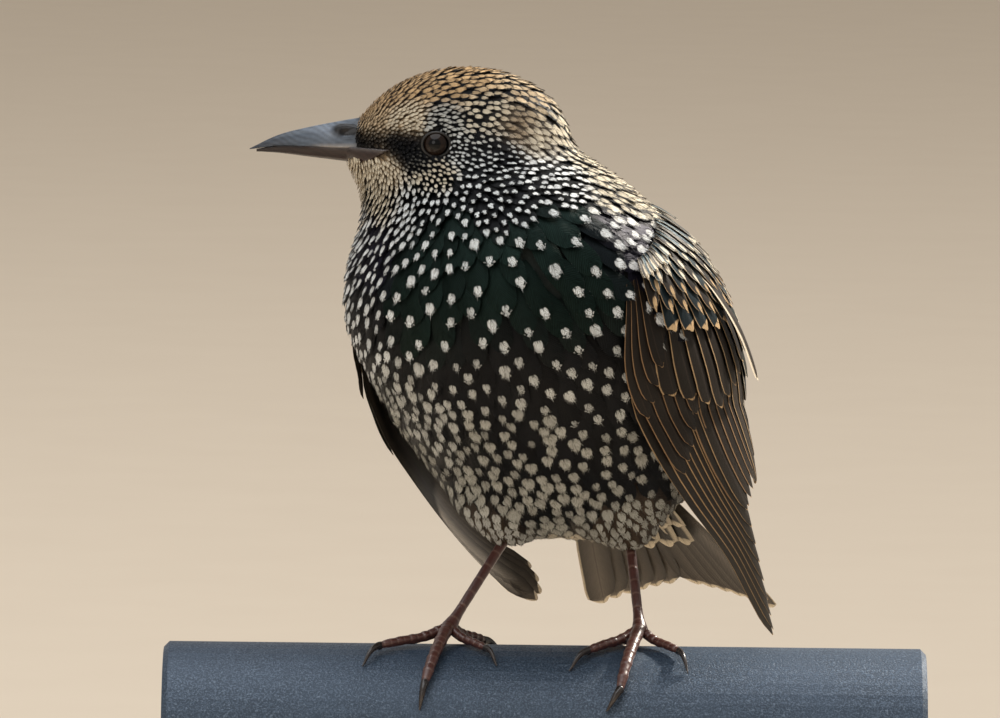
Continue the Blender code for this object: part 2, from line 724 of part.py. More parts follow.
# The legs: the ankle in the body's axes, the foot's joint and the toes over the rail in bird space.
TARSUS_RADIUS = 1.25
ANKLE_RADIUS = 1.7
THIGH_RADIUS = 6.6
THIGH_SHAPE = [0.27, 0.38, 0.55, 0.78, 1.0]
THIGH_UP = np.array([0.0, -2.5, 12.0])
FOOT_BALL_RADIUS = 2.15
LEGS = {
    1: {
        "ankle": (22.8, 13.0, 20.5),
        "joint": (24.9, 1.0, 3.6),
        "toes": [
            ((9.0, 9.4), (11.0, 15.8), 1.0),
            ((-4.6, 21.5), (-7.6, 26.0), 1.3),
            ((-12.0, 9.8), (-16.2, 15.4), 1.1),
            ((-6.0, -11.0), (-9.5, -17.0), 1.25),
        ],
    },
    -1: {
        "ankle": (-6.0, 13.5, 20.5),
        "joint": (-17.2, 1.0, 3.6),
        "toes": [
            ((8.6, 9.0), (11.2, 14.2), 1.0),
            ((-5.3, 20.4), (-6.4, 26.2), 1.3),
            ((-15.8, 8.4), (-19.6, 14.6), 1.1),
            ((8.0, -8.2), (12.6, -13.0), 1.25),
        ],
    },
}
SCUTE_LENGTH = 3.0
SCUTE_STEP = 0.1


def rail_point(x, arc, height):
    """A point over the rail: arc is the distance round it from its crest, forwards when negative."""
    angle = arc / RAIL_RADIUS
    radius = RAIL_RADIUS + height
    return np.array([x, radius * math.sin(angle), radius * math.cos(angle) - RAIL_RADIUS])


def toe_pieces(joint, toe_end, claw_tip, radius, home, finish):
    """A toe with its scutes and its claw, laid over the rail from the foot's joint.

    Where the toe and the claw end is given as steps from the joint, along the rail and forwards.
    """
    start = np.array([joint[0], -joint[1]])
    reach_out = np.array(toe_end, float)
    length = np.linalg.norm(reach_out)
    scutes = max(4, round(length / SCUTE_LENGTH))
    amounts, radii = [0.0], [radius * 1.15]
    for i in range(scutes):
        shrink = 1.12 - 0.34 * (i + 0.5) / scutes
        amounts += [(i + 0.2) / scutes, (i + 0.95) / scutes]
        radii += [radius * (shrink + SCUTE_STEP), radius * (shrink - SCUTE_STEP * 0.4)]
    path = []
    for amount in amounts:
        x, forwards = start + reach_out * amount
        rise = (joint[2] - radius - GAP) * max(0.0, 1 - amount * 2.2) ** 1.6
        path.append(rail_point(x, -forwards, GAP + radius * 1.25 + rise))
    add_object("toe", tube(path, radii, sides=6), home, finish)
    bend = np.array(claw_tip, float) - reach_out
    claw_path, claw_radii = [], []
    for i in range(6):
        t = i / 5
        turned = reach_out * (1 - 0.8 / length) + bend * t**1.15 + reach_out / length * 1.6 * t * (1 - t)
        x, forwards = start + turned
        height = GAP + radius * 1.2 + 0.9 * math.sin(math.pi * min(1, t * 1.2)) - 1.05 * t * radius
        claw_path.append(rail_point(x, -forwards, height))
        claw_radii.append(0.8 * radius * (1 - t) ** 0.75 + 0.14)
    add_object("claw", tube(claw_path, claw_radii, sides=5), home, finish)


def add_leg(side, home, finishes, torso):
    word = "left" if side > 0 else "right"
    leg = LEGS[side]
    ankle, joint = np.array(leg["ankle"]), np.array(leg["joint"])
    pieces = collection("foot_pieces")
    for toe_end, claw_tip, radius in leg["toes"]:
        toe_pieces(joint, toe_end, claw_tip, radius, pieces, finishes["leg"])
    ball = bmesh.new()
    bmesh.ops.create_uvsphere(
        ball, u_segments=10, v_segments=7, radius=FOOT_BALL_RADIUS * MM,
        matrix=Matrix.Translation(to_metres(joint + np.array([0, 0, -0.2]))),
    )
    foot = add_object("foot_" + word, ball, home, finishes["leg"])
    fuse(foot, pieces)
    axis = (ankle - joint) / np.linalg.norm(ankle - joint)
    amounts = np.linspace(0, 1, 9)
    start = joint + axis * 0.6
    path = [start + (ankle - start) * t for t in amounts]
    radii = [
        TARSUS_RADIUS * (1 + 0.35 * (1 - t) ** 4) + (ANKLE_RADIUS - TARSUS_RADIUS) * t**5
        for t in amounts
    ]
    tarsus = add_object("leg_" + word, tube(path, radii, sides=9), home, finishes["leg"])
    carve(tarsus, foot)
    thigh_path = [ankle + axis * (GAP + 0.1) + THIGH_UP * t for t in (0, 0.12, 0.3, 0.55, 1.0)]
    shape = tube(thigh_path, [THIGH_RADIUS * share for share in THIGH_SHAPE], sides=12)
    thigh = add_object("thigh_" + word, shape, home, finishes["plumage"])
    carve(thigh, torso)
    carve(thigh, tarsus)
    return foot, tarsus, thigh


def add_stand(home, finishes):
    """The base, with its corners rounded, two rods, and the length of rail."""
    width, depth, thick = BASE_SIZE
    bm = bmesh.new()
    bmesh.ops.create_cube(bm, size=1.0)
    bmesh.ops.scale(bm, vec=(width * MM, depth * MM, thick * MM), verts=bm.verts)
    upright = [e for e in bm.edges if abs(e.verts[0].co.z - e.verts[1].co.z) > 0.5 * thick * MM]
    bmesh.ops.bevel(
        bm, geom=upright, offset=BASE_CORNER * MM, segments=6, profile=0.5, affect="EDGES"
    )
    rim = [e for e in bm.edges if min(v.co.z for v in e.verts) > 0 and e.calc_face_angle(0) > 1]
    bmesh.ops.bevel(bm, geom=rim, offset=BASE_EDGE * MM, segments=2, profile=0.5, affect="EDGES")
    bmesh.ops.translate(bm, vec=(0, 0, thick * MM / 2), verts=bm.verts)
    add_object("stand_base", bm, home, finishes["base"])
    for name, offset in (("stand_rod_left", ROD_SPREAD), ("stand_rod_right", -ROD_SPREAD)):
        x = RAIL_CENTRE_X + offset
        rail_under = -2 * RAIL_RADIUS
        foot = BASE_SIZE[2] + GAP - RAIL_TOP
        path = [(x, 0, foot), (x, 0, (foot + rail_under) / 2), (x, 0, rail_under + 2.0)]
        rod = add_object(name, tube(path, [ROD_RADIUS] * 3, sides=ROD_SIDES), home, finishes["rod"])
        cutter = rail_mesh(RAIL_RADIUS + GAP, RAIL_LENGTH + 4)
        rail_cut = add_object("rail_cut", cutter, collection("cutters"), finishes["rail"])
        boolean(rod, rail_cut, "DIFFERENCE")
        bpy.data.objects.remove(rail_cut)
    rail = add_object("stand_rail", rail_mesh(RAIL_RADIUS, RAIL_LENGTH), home, finishes["rail"])
    bevel = rail.modifiers.new("Edge", "BEVEL")
    bevel.width = RAIL_EDGE * MM
    bevel.segments = 1
    bevel.limit_method = "ANGLE"
    bevel.angle_limit = math.radians(60)
    return rail


def rail_mesh(radius, length):
    bm = bmesh.new()
    turn = Matrix.Rotation(math.pi / 2, 4, "Y")
    centre = Matrix.Translation(to_metres((RAIL_CENTRE_X, 0, -RAIL_RADIUS)))
    bmesh.ops.create_cone(
        bm, cap_ends=True, segments=RAIL_SIDES, radius1=radius * MM, radius2=radius * MM,
        depth=length * MM, matrix=centre @ turn,
    )
    return bm


def main():
    clear_scene()
    home = collection("starling")
    finishes = {
        "plumage": material("plumage", (0.02, 0.02, 0.022), 0.45),
        "wing": material("wing_feathers", (0.05, 0.035, 0.025), 0.5),
        "bill": material("bill", (0.06, 0.065, 0.08), 0.35),
        "eye": material("eye", (0.01, 0.007, 0.005), 0.05),
        "leg": material("leg", (0.13, 0.035, 0.03), 0.4),
        "rail": material("rail", (0.1, 0.14, 0.19), 0.45, 0.6),
        "rod": material("rod", (0.3, 0.3, 0.31), 0.3, 1.0),
        "base": material("base", (0.03, 0.025, 0.02), 0.5),
    }
    torso = add_torso(home, finishes["plumage"])
    add_neck(home, finishes["plumage"])
    head = add_head(home, finishes["plumage"])
    add_bill(home, finishes["bill"], head)
    for side in (1, -1):
        add_eye(side, home, finishes["eye"])
        add_leg(side, home, finishes, torso)
        add_wing(side, home, finishes["wing"], torso)
    add_tail(home, finishes["wing"], torso)
    add_stand(home, finishes)


main()
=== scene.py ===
"""A starling in winter plumage on a short length of rail: skin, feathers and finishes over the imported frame.

Bird space is in millimetres: its origin lies on the crest of the rail between the feet, +X is to the right
as one faces the bird, +Y is away and +Z is up. The body's own axes are side (its left), back and up.
"""
import math

import bpy
import numpy as np
from mathutils import Matrix, Vector
from mathutils.kdtree import KDTree


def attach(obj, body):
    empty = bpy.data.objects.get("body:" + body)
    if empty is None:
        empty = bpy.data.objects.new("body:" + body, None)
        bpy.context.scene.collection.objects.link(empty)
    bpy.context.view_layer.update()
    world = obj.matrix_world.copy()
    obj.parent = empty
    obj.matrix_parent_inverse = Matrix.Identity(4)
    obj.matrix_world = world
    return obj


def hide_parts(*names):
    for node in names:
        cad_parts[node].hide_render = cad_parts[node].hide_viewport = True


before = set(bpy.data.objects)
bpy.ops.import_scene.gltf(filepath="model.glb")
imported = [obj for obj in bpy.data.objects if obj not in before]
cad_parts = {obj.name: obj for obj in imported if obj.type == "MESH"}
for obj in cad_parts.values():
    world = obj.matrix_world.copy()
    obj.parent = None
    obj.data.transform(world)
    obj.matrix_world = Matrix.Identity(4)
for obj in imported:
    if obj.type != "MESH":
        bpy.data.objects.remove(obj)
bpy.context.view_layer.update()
RANDOM = np.random.default_rng(11)

# Sizes shared with the solids
RAIL_TOP = 68.0
RAIL_RADIUS = 21.2
SHIFT = np.array([4.0, 13.0, -RAIL_TOP])
BODY_TURN = math.radians(22.5)
BODY_X = 1.0
TRUNK_CENTRE = (-1.5, 9.0, 64.5)
TRUNK_HALF = (52.0, 38.0, 32.0)
TRUNK_PITCH = math.radians(43.0)
TAIL_ROOT = (0.0, 43.0, 40.0)
TAIL_TIP = (0.5, 89.0, 4.2)
TAIL_PITCH = math.atan2(TAIL_ROOT[2] - TAIL_TIP[2], TAIL_TIP[1] - TAIL_ROOT[1])
TAIL_HALF_ROOT = 7.0
TAIL_HALF_TIP = 24.0
TAIL_ARCH = 2.6
TAIL_NOTCH = 0.1
TAIL_ROLL = 0.8
HEAD_CENTRE = np.array([-14.3, -8.0, 113.6])
HEAD_HALF = (21.5, 13.0, 14.3)
EYE_RADIUS = 3.1
EYE_X = -21.0
EYE_Z = 111.9
BLEND = 3.2


def to_metres(points):
    """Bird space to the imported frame."""
    return (np.asarray(points, float) - SHIFT) * 0.001


def body_point(side, back, up):
    c, s = math.cos(BODY_TURN), math.sin(BODY_TURN)
    return np.array([BODY_X + side * c + back * s, -side * s + back * c, up])


def body_direction(side, back, up):
    c, s = math.cos(BODY_TURN), math.sin(BODY_TURN)
    return np.array([side * c + back * s, -side * s + back * c, up])


def trunk_axes(pitch):
    along = body_direction(0, math.cos(pitch), -math.sin(pitch))
    left = body_direction(1, 0, 0)
    dorsal = body_direction(0, math.sin(pitch), math.cos(pitch))
    return np.array([along, left, dorsal])


def step(x, low, high):
    """A smooth step from 0 at low to 1 at high."""
    t = np.clip((np.asarray(x, float) - low) / (high - low), 0, 1)
    return t * t * (3 - 2 * t)


def unit(v):
    return v / (np.linalg.norm(v, axis=-1, keepdims=True) + 1e-12)


def circle(count):
    """Evenly spaced angles once round."""
    return np.linspace(0, 2 * math.pi, count, endpoint=False)


def mirrored(place, both):
    """The place as an array and, where asked, its mirror image across the head."""
    spots = [np.array(place, float)]
    if both:
        spots.append(np.array([place[0], 2 * HEAD_CENTRE[1] - place[1], place[2]], float))
    return spots


def dress(pieces, slot, *nodes):
    """Pieces put on the one body, in place of the named nodes. The slot is not used."""
    for piece in pieces:
        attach(piece, "root")
        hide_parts(*nodes)


TRUNK = trunk_axes(TRUNK_PITCH)
HEAD_AXES = np.diag([1.0, -1.0, 1.0])
TRUNK_PLACE = body_point(*TRUNK_CENTRE)

# The rounded masses that the body's surface blends: centre, half sizes and axes of each.
LUMPS = [
    (TRUNK_PLACE, TRUNK_HALF, TRUNK),
    (body_point(-1, 20, 60), (38, 35, 26), TRUNK),
    (body_point(-7.5, -9, 76), (30, 31.5, 26), TRUNK),
    (body_point(0, 35, 44), (22, 15, 11), trunk_axes(TAIL_PITCH)),
    (np.array([-8.5, -7.0, 95.0]), (25.0, 21, 14), HEAD_AXES),
    (np.array([3.0, -1.0, 97.5]), (13, 15, 9), HEAD_AXES),
    (HEAD_CENTRE, HEAD_HALF, HEAD_AXES),
    (np.array([-28.0, -8.0, 109.9]), (12.5, 6.6, 6.4), HEAD_AXES),
    (np.array([-26.5, -8.5, 103.5]), (8.5, 9.0, 8.0), HEAD_AXES),
    (np.array([-5.0, 12.0, 33.2]), (10.0, 9.0, 8.3), HEAD_AXES),
    (np.array([21.0, 12.0, 31.5]), (7.5, 8.0, 7.6), HEAD_AXES),
    (np.array([-4.6, 13.6, 27.5]), (2.8, 2.8, 5.0), HEAD_AXES),
    (np.array([22.6, 13.2, 27.0]), (2.8, 2.8, 5.0), HEAD_AXES),
]


def axes_from(first, normal):
    """Three axes at right angles: the first, one across, and the one nearest to the given normal."""
    first = unit(np.array(first, float))
    across = unit(np.cross(np.array(normal, float), first))
    return np.array([first, across, np.cross(first, across)])


# The feathers of the breast's side and of the shoulder that lie over the front of the left wing.
PADS = [
    (np.array([19.0, -19.5, 78.5]), (20.5, 9.5, 8.0), axes_from((0.58, 0.3, -0.75), (0.5, -0.85, 0.15))),
    (np.array([18.0, -7.5, 93.8]), (11.0, 8.5, 6.0), axes_from((0.9, 0.35, -0.3), (0.2, -0.3, 0.9))),
]
COVER = LUMPS + PADS


def surface(points, lumps=None):
    """About how far each point lies outside the body, and the outward direction there."""
    points = np.asarray(points, float)
    flat = points.reshape(-1, 3)
    total = np.zeros(len(flat))
    slope = np.zeros((len(flat), 3))
    for centre, half, axes in lumps or LUMPS:
        half = np.array(half, float)
        local = (flat - centre) @ axes.T
        near = np.linalg.norm(local / half, axis=1) + 1e-9
        out = local / half**2
        steep = np.linalg.norm(out, axis=1) + 1e-9
        weight = np.exp(-np.clip(near * (near - 1) / steep, -60, 200) / BLEND)
        total += weight
        slope += (weight / steep)[:, None] * (out @ axes)
    distance = -BLEND * np.log(total + 1e-60)
    return distance.reshape(points.shape[:-1]), unit(slope).reshape(points.shape)


def settle(points, level=0.0, rounds=4, lumps=None):
    """Points moved along the surface's outward direction until they lie at the level over it."""
    for _ in range(rounds):
        distance, normal = surface(points, lumps)
        points = points - normal * (distance - level)[..., None]
    return points, normal


# Materials

class Nodes:
    """A short way to write a material's node tree."""

    def __init__(self, name):
        self.material = bpy.data.materials.new(name)
        self.material.use_nodes = True
        self.tree = self.material.node_tree
        self.shader = self.tree.nodes["Principled BSDF"]

    def new(self, kind, **settings):
        node = self.tree.nodes.new("ShaderNode" + kind)
        for key, value in settings.items():
            setattr(node, key, value)
        return node

    def put(self, socket, value):
        if isinstance(value, bpy.types.NodeSocket):
            self.tree.links.new(value, socket)
        else:
            socket.default_value = value

    def math(self, operation, *values, clamp=False):
        node = self.new("Math", operation=operation, use_clamp=clamp)
        for socket, value in zip(node.inputs, values):
            self.put(socket, value)
        return node.outputs[0]

    def times(self, a, b):
        return self.math("MULTIPLY", a, b)

    def plus(self, a, b):
        return self.math("ADD", a, b)

    def minus(self, a, b):
        return self.math("SUBTRACT", a, b)

    def over(self, a, b):
        return self.math("DIVIDE", a, b)

    def ramp(self, value, low, high, start=0.0, end=1.0):
        """A smooth step of a value, from start at low to end at high."""
        node = self.new("MapRange", interpolation_type="SMOOTHSTEP")
        for socket, item in zip(node.inputs, (value, low, high, start, end)):
            self.put(socket, item)
        return node.outputs[0]

    def mix(self, share, first, second, blend="MIX"):
        node = self.new("Mix", data_type="RGBA", blend_type=blend)
        self.put(node.inputs[0], share)
        for socket, value in ((node.inputs[6], first), (node.inputs[7], second)):
            self.put(socket, (*value, 1.0) if isinstance(value, tuple) and len(value) == 3 else value)
        return node.outputs[2]

    def shade(self, colour, share, low, high):
        """A colour times an amount that goes from low to high with share."""
        return self.mix(1.0, colour, self.mix(share, (low,) * 3, (high,) * 3), "MULTIPLY")

    def stretched(self, scale):
        """Object coordinates drawn out by a scale on each axis."""
        node = self.new("Mapping")
        node.inputs["Scale"].default_value = scale
        self.put(node.inputs["Vector"], self.new("TexCoord").outputs["Object"])
        return node.outputs[0]

    def noise(self, scale, detail=2.0, vector=None, roughness=0.5):
        node = self.new("TexNoise")
        node.inputs["Scale"].default_value = scale
        node.inputs["Detail"].default_value = detail
        node.inputs["Roughness"].default_value = roughness
        if vector is None:
            vector = self.new("TexCoord").outputs["Object"]
        self.put(node.inputs["Vector"], vector)
        return node.outputs["Fac"]

    def attribute(self, name, part="Vector"):
        return self.new("Attribute", attribute_name=name).outputs[part]

    def split(self, vector):
        node = self.new("SeparateXYZ")
        self.put(node.inputs[0], vector)
        return node.outputs[0], node.outputs[1], node.outputs[2]

    def bump(self, height, strength, distance):
        node = self.new("Bump")
        node.inputs["Strength"].default_value = strength
        node.inputs["Distance"].default_value = distance
        self.put(node.inputs["Height"], height)
        self.put(self.shader.inputs["Normal"], node.outputs[0])

    def set(self, **inputs):
        for key, value in inputs.items():
            self.put(self.shader.inputs[key.replace("_", " ")], value)
        return self.material


def feather_material(name, roughness, level, bump=0.3):
    """Barbs, a shaft, a pale mark at the tip and pale edges, from what each vane carries.

    vane is across, along and a random number; spot is the mark's length and half width in millimetres
    and how clear it is; edge is the width of the pale edge on the outer side, the inner side and the tip.
    The alpha of ground is how much the dark part shines in its own colour.
    """
    n = Nodes(name)
    across, along, chance = n.split(n.attribute("vane"))
    length, half, fine = n.split(n.attribute("size"))
    mark_long, mark_half, mark_clear = n.split(n.attribute("spot"))
    outer, inner, tip_edge = n.split(n.attribute("edge"))
    ground = n.attribute("ground", "Color")
    gloss = n.attribute("ground", "Alpha")
    mark = n.attribute("mark", "Color")
    side = n.math("ABSOLUTE", across)
    out_mm = n.times(side, half)
    from_tip = n.times(n.minus(1.0, along), length)
    barb = n.minus(n.times(along, length), n.times(out_mm, 1.5))
    place = n.new("CombineXYZ")
    n.put(place.inputs[0], n.times(barb, 1.7))
    n.put(place.inputs[1], n.times(out_mm, 0.35))
    n.put(place.inputs[2], n.times(chance, 40.0))
    rough = n.noise(1.3, 3.0, place.outputs[0], 0.6)
    wobble = n.times(n.minus(rough, 0.5), 5.0)
    phase = n.plus(n.times(n.over(barb, fine), 2 * math.pi), wobble)
    phase = n.plus(phase, n.times(chance, 37.0))
    line = n.math("MULTIPLY_ADD", n.math("SINE", phase), 0.5, 0.5)
    ragged = n.times(n.minus(n.plus(line, rough), 1.0), 0.34)
    # the mark: a rounded block at the tip with a dark nick up its shaft at either end
    up = n.over(n.minus(from_tip, n.times(mark_long, 0.5)),
                n.times(mark_long, 0.5))
    wide = n.over(out_mm, mark_half)
    block = n.plus(n.math("POWER", n.math("ABSOLUTE", up), 2.3), n.math("POWER", wide, 2.3))
    spot = n.ramp(n.plus(block, ragged), 1.14, 0.86)
    nick = n.times(n.ramp(wide, 0.24, 0.06), n.ramp(n.math("ABSOLUTE", up), 0.25, 0.9))
    spot = n.times(spot, n.minus(1.0, n.times(nick, 0.75)))
    spot = n.times(spot, mark_clear)
    # pale edges
    rim = n.times(n.minus(1.0, side), half)
    chosen = n.plus(n.times(n.math("LESS_THAN", across, 0.0), outer),
                    n.times(n.math("GREATER_THAN", across, 0.0), inner))
    edge = n.ramp(n.plus(n.over(rim, n.plus(chosen, 0.001)), ragged), 1.2, 0.7)
    tip = n.ramp(n.plus(n.over(from_tip, n.plus(tip_edge, 0.001)), ragged), 1.15, 0.75)
    pale = n.math("MAXIMUM", spot, n.math("MAXIMUM", edge, tip), clamp=True)
    dark = n.shade(ground, line, 0.5, 1.45)
    stroke = n.times(n.ramp(line, 0.0, 0.55), n.ramp(up, 2.2, -0.6, 0.72, 1.0))
    light = n.mix(1.0, mark, n.mix(stroke, (0.40, 0.38, 0.36), (1.05, 1.05, 1.05)), "MULTIPLY")
    colour = n.mix(pale, dark, light)
    shaft = n.times(n.ramp(out_mm, 0.16, 0.07), n.ramp(length, 14.0, 22.0))
    colour = n.mix(n.times(shaft, 0.55), colour, (0.03, 0.02, 0.015))
    n.bump(n.plus(line, n.times(rough, 0.6)), bump, 0.00012)
    roughness = n.math("MULTIPLY_ADD", pale, 0.78 - roughness, roughness)
    metallic = n.times(n.minus(1.0, pale), n.times(gloss, 0.9))
    return n.set(Base_Color=colour, Roughness=roughness, Metallic=metallic, Specular_IOR_Level=level)


# Meshes of many vanes at once

def grid_quads(index):
    """The quads of a grid of point numbers."""
    return np.stack([index[:-1, :-1], index[:-1, 1:], index[1:, 1:], index[1:, :-1]], -1).reshape(-1, 4)


def vane_faces(rows, columns):
    """Faces of one closed vane: a top grid of rows by columns and one line of points under it."""
    top = np.arange(rows * columns).reshape(rows, columns)
    under = rows * columns + np.arange(rows)
    left = np.stack([top[:-1, 0], top[1:, 0], under[1:], under[:-1]], -1)
    right = np.stack([under[:-1], under[1:], top[1:, -1], top[:-1, -1]], -1)
    caps = [(under[0], top[0, c + 1], top[0, c]) for c in range(columns - 1)]
    caps += [(under[-1], top[-1, c], top[-1, c + 1]) for c in range(columns - 1)]
    return np.concatenate([grid_quads(top), left, right]), np.array(caps)


def mesh_object(name, points, quads, tris, material, values, uv, smooth=True):
    """A mesh of points in bird space, with named point values and the map OFBake."""
    mesh = bpy.data.meshes.new(name)
    points = to_metres(points)
    mesh.vertices.add(len(points))
    mesh.vertices.foreach_set("co", points.astype(np.float32).ravel())
    quads, tris = np.asarray(quads, int).reshape(-1, 4), np.asarray(tris, int).reshape(-1, 3)
    corners = np.vstack([quads[:, [0, 1, 2]], quads[:, [0, 2, 3]], tris])
    first, second, third = (points - points.mean(axis=0))[corners.T]
    if (first * np.cross(second, third)).sum() < 0:    # the faces look inwards, so they are turned round
        quads, tris = quads[:, ::-1], tris[:, ::-1]
    loops = np.concatenate([quads.ravel(), tris.ravel()]).astype(np.int32)
    sizes = np.concatenate([np.full(len(quads), 4), np.full(len(tris), 3)])
    mesh.loops.add(len(loops))
    mesh.loops.foreach_set("vertex_index", loops)
    mesh.polygons.add(len(sizes))
    mesh.polygons.foreach_set("loop_start", (np.cumsum(sizes) - sizes).astype(np.int32))
    mesh.polygons.foreach_set("use_smooth", np.full(len(sizes), smooth))
    mesh.update(calc_edges=True)
    for key, value in values.items():
        value = np.asarray(value, np.float32).reshape(len(points), -1)
        if key in ("ground", "mark", "paint"):
            layer = mesh.color_attributes.new(key, "FLOAT_COLOR", "POINT")
            cool = (value[:, 1:].max(axis=1) - value[:, 0]) / (value.max(axis=1) + 1e-6)
            alpha = np.clip(1.4 * cool, 0, 1) if key == "ground" else np.ones(len(points))
            value = np.hstack([value, alpha[:, None].astype(np.float32)])
            layer.data.foreach_set("color", value.ravel())
        else:
            mesh.attributes.new(key, "FLOAT_VECTOR", "POINT").data.foreach_set("vector", value.ravel())
    layer = mesh.uv_layers.new(name="OFBake")
    layer.data.foreach_set("uv", uv[loops].astype(np.float32).ravel())
    mesh.materials.append(material)
    piece = bpy.data.objects.new(name, mesh)
    bpy.context.scene.collection.objects.link(piece)
    return piece


def add_vanes(name, top, under, data, material, place):
    """One piece made of many closed vanes; data holds each vane's looks and place its spot on OFBake."""
    count, rows, columns = top.shape[:3]
    points = np.concatenate([top.reshape(count, -1, 3), under], axis=1)
    quads, tris = vane_faces(rows, columns)
    each = rows * columns + rows
    offset = (np.arange(count) * each)[:, None, None]
    across, along = data["across"], data["along"]
    across = np.concatenate([across.reshape(count, -1), np.zeros((count, rows))], axis=1)
    along = np.concatenate([along.reshape(count, -1), along[:, :, columns // 2]], axis=1)
    chance = np.broadcast_to(data["chance"][:, None], across.shape)
    values = {"vane": np.stack([across, along, chance], -1)}
    for key in ("size", "spot", "edge", "ground", "mark"):
        values[key] = np.broadcast_to(data[key][:, None, :], (count, each, 3))
    if "below" in data:
        below = np.broadcast_to(data["below"][:, None, :], (count, rows, 3))
        values["ground"] = np.concatenate([values["ground"][:, :rows * columns], below], axis=1)
    patch = place[:, None, :] + np.stack([across * 0.0015, (along - 0.5) * 0.003], -1)
    piece = mesh_object(
        name, points.reshape(-1, 3), (quads + offset).reshape(-1, 4), (tris + offset).reshape(-1, 3),
        material, {k: v.reshape(-1, 3) for k, v in values.items()}, patch.reshape(-1, 2),
    )
    piece.data.set_sharp_from_angle(angle=math.radians(70))
    return piece


BARB_WIDTH = 0.13
BARB_START = 0.4


def add_barbs(name, top, data, place, each, long):
    """One piece of fine barbs, thin closed slivers that stand a little off the vanes and spread forwards.

    Each takes the looks of its vane where it starts; long is in millimetres.
    """
    count, rows, columns = top.shape[:3]
    number = np.repeat(np.arange(count), each)
    t = RANDOM.random(len(number)) ** 0.8 * (1 - BARB_START) + BARB_START
    x = RANDOM.uniform(-0.97, 0.97, len(number))
    line, column = t * (rows - 1.001), (x + 1) / 2 * (columns - 1.001)
    r, c = line.astype(int), column.astype(int)
    fr, fc = (line - r)[:, None], (column - c)[:, None]

    def blend(grid):
        low = grid[number, r, c] * (1 - fc) + grid[number, r, c + 1] * fc
        high = grid[number, r + 1, c] * (1 - fc) + grid[number, r + 1, c + 1] * fc
        return low, high

    low, high = blend(top)
    spot = low * (1 - fr) + high * fr
    ahead = unit(high - low)
    over = unit(top[number, r, c + 1] - top[number, r, c])
    normal = unit(np.cross(over, ahead))
    angle = np.sign(x) * (0.2 + 0.42 * np.abs(x)) + RANDOM.normal(0, 0.1, len(x))
    heading = ahead * np.cos(angle)[:, None] + over * np.sin(angle)[:, None]
    sideways = np.cross(heading, normal)
    reach = (long * RANDOM.uniform(0.65, 1.2, len(x)))[:, None]
    half = BARB_WIDTH * 0.5
    sit = spot + normal * 0.03
    tip = sit + heading * reach + normal * (RANDOM.uniform(-0.02, 0.10, (len(x), 1)) * reach)
    points = np.stack([sit + sideways * half, sit - sideways * half, sit - normal * BARB_WIDTH * 0.7, tip], 1)
    faces = np.array([(1, 0, 3), (2, 1, 3), (0, 2, 3), (0, 1, 2)]) + (np.arange(len(x)) * 4)[:, None, None]
    across, along = (blend(np.broadcast_to(data[key], top.shape[:3])[..., None]) for key in ("across", "along"))
    across, along = ((a * (1 - fr) + b * fr)[:, 0] for a, b in (across, along))
    own = np.stack([across, along, RANDOM.random(len(x))], -1)
    values = {"vane": np.repeat(own, 4, axis=0)}
    for key in ("size", "spot", "edge", "ground", "mark"):
        values[key] = np.repeat(data[key][number], 4, axis=0)
    patch = place[number] + np.stack([across * 0.0015, (along - 0.5) * 0.003], -1)
    return mesh_object(name, points.reshape(-1, 3), [], faces.reshape(-1, 3), MATERIALS["body"], values,
                       np.repeat(patch, 4, axis=0), smooth=False)


# An unwrap of the skin: how far along the bird's own midline, and the turn about it

SPINE = np.array([
    (-42.0, -8.0, 112.5), (-30.0, -8.0, 112.5), (-15.0, -8.0, 111.5), (-6.0, -6.0, 104.0),
    (-5.0, -5.0, 92.0), (-3.0, 0.0, 80.0), (4.0, 10.0, 64.0), (13.0, 29.0, 46.0), (20.0, 45.0, 34.0), (24, 56, 25),
])


def unwrap(points):
    """Where points lie on the skin's unwrap, from 0 to 1 both ways."""
    flat = points.reshape(-1, 3)
    start, end = SPINE[:-1], SPINE[1:]
    run = end - start
    lengths = np.linalg.norm(run, axis=1)
    share = np.clip(((flat[:, None] - start) * run).sum(-1) / lengths**2, 0, 1)
    spot = start + share[..., None] * run
    gap = np.linalg.norm(flat[:, None] - spot, axis=-1)
    best = gap.argmin(axis=1)
    rows = np.arange(len(flat))
    along = (np.concatenate([[0], np.cumsum(lengths)])[best] + share[rows, best] * lengths[best]) / lengths.sum()
    axis = unit(run[best])
    out = flat - spot[rows, best]
    left = unit(np.cross(axis, np.array([0.0, 1.0, 0.001])) + np.array([0.0, 0.0, 1e-6]))
    over = np.cross(left, axis)
    turn = np.arctan2((out * over).sum(-1), (out * left).sum(-1)) / (2 * math.pi) + 0.5
    return np.stack([0.02 + 0.96 * turn, 0.02 + 0.96 * along], -1).reshape(*points.shape[:-1], 2)


# The lie of the coat

HEAD_LIE = [
    ((-34, -8, 119), (1, 0, 0.4), 8, False),
    ((-14, -8, 128), (1, 0, 0), 9, False),
    ((2, -8, 123), (0.8, 0, -0.6), 8, False),
    ((11, -6, 110), (0.3, 0.15, -1), 8, False),
    ((20, 0, 100), (0.6, 0.4, -0.7), 9, False),
    ((-33, -16, 113), (1, 0, 0.05), 7, True),
    ((-18, -21, 114), (1, 0, -0.05), 8, True),
    ((-4, -20, 112), (0.95, 0, -0.4), 8, True),
    ((-27, -17, 105), (0.75, 0, -0.7), 6, True),
    ((-37, -10, 105), (0.3, 0, -1), 6, True),
    ((-35, -14, 97), (0.1, 0, -1), 8, True),
    ((-15, -27, 98), (0.3, 0, -1), 9, True),
    ((6, -22, 100), (0.75, 0, -0.75), 9, True),
    ((-24, -30, 90), (-0.1, 0, -1), 9, False),
    ((-38, -14, 87), (0, 0.25, -1), 9, False),
]


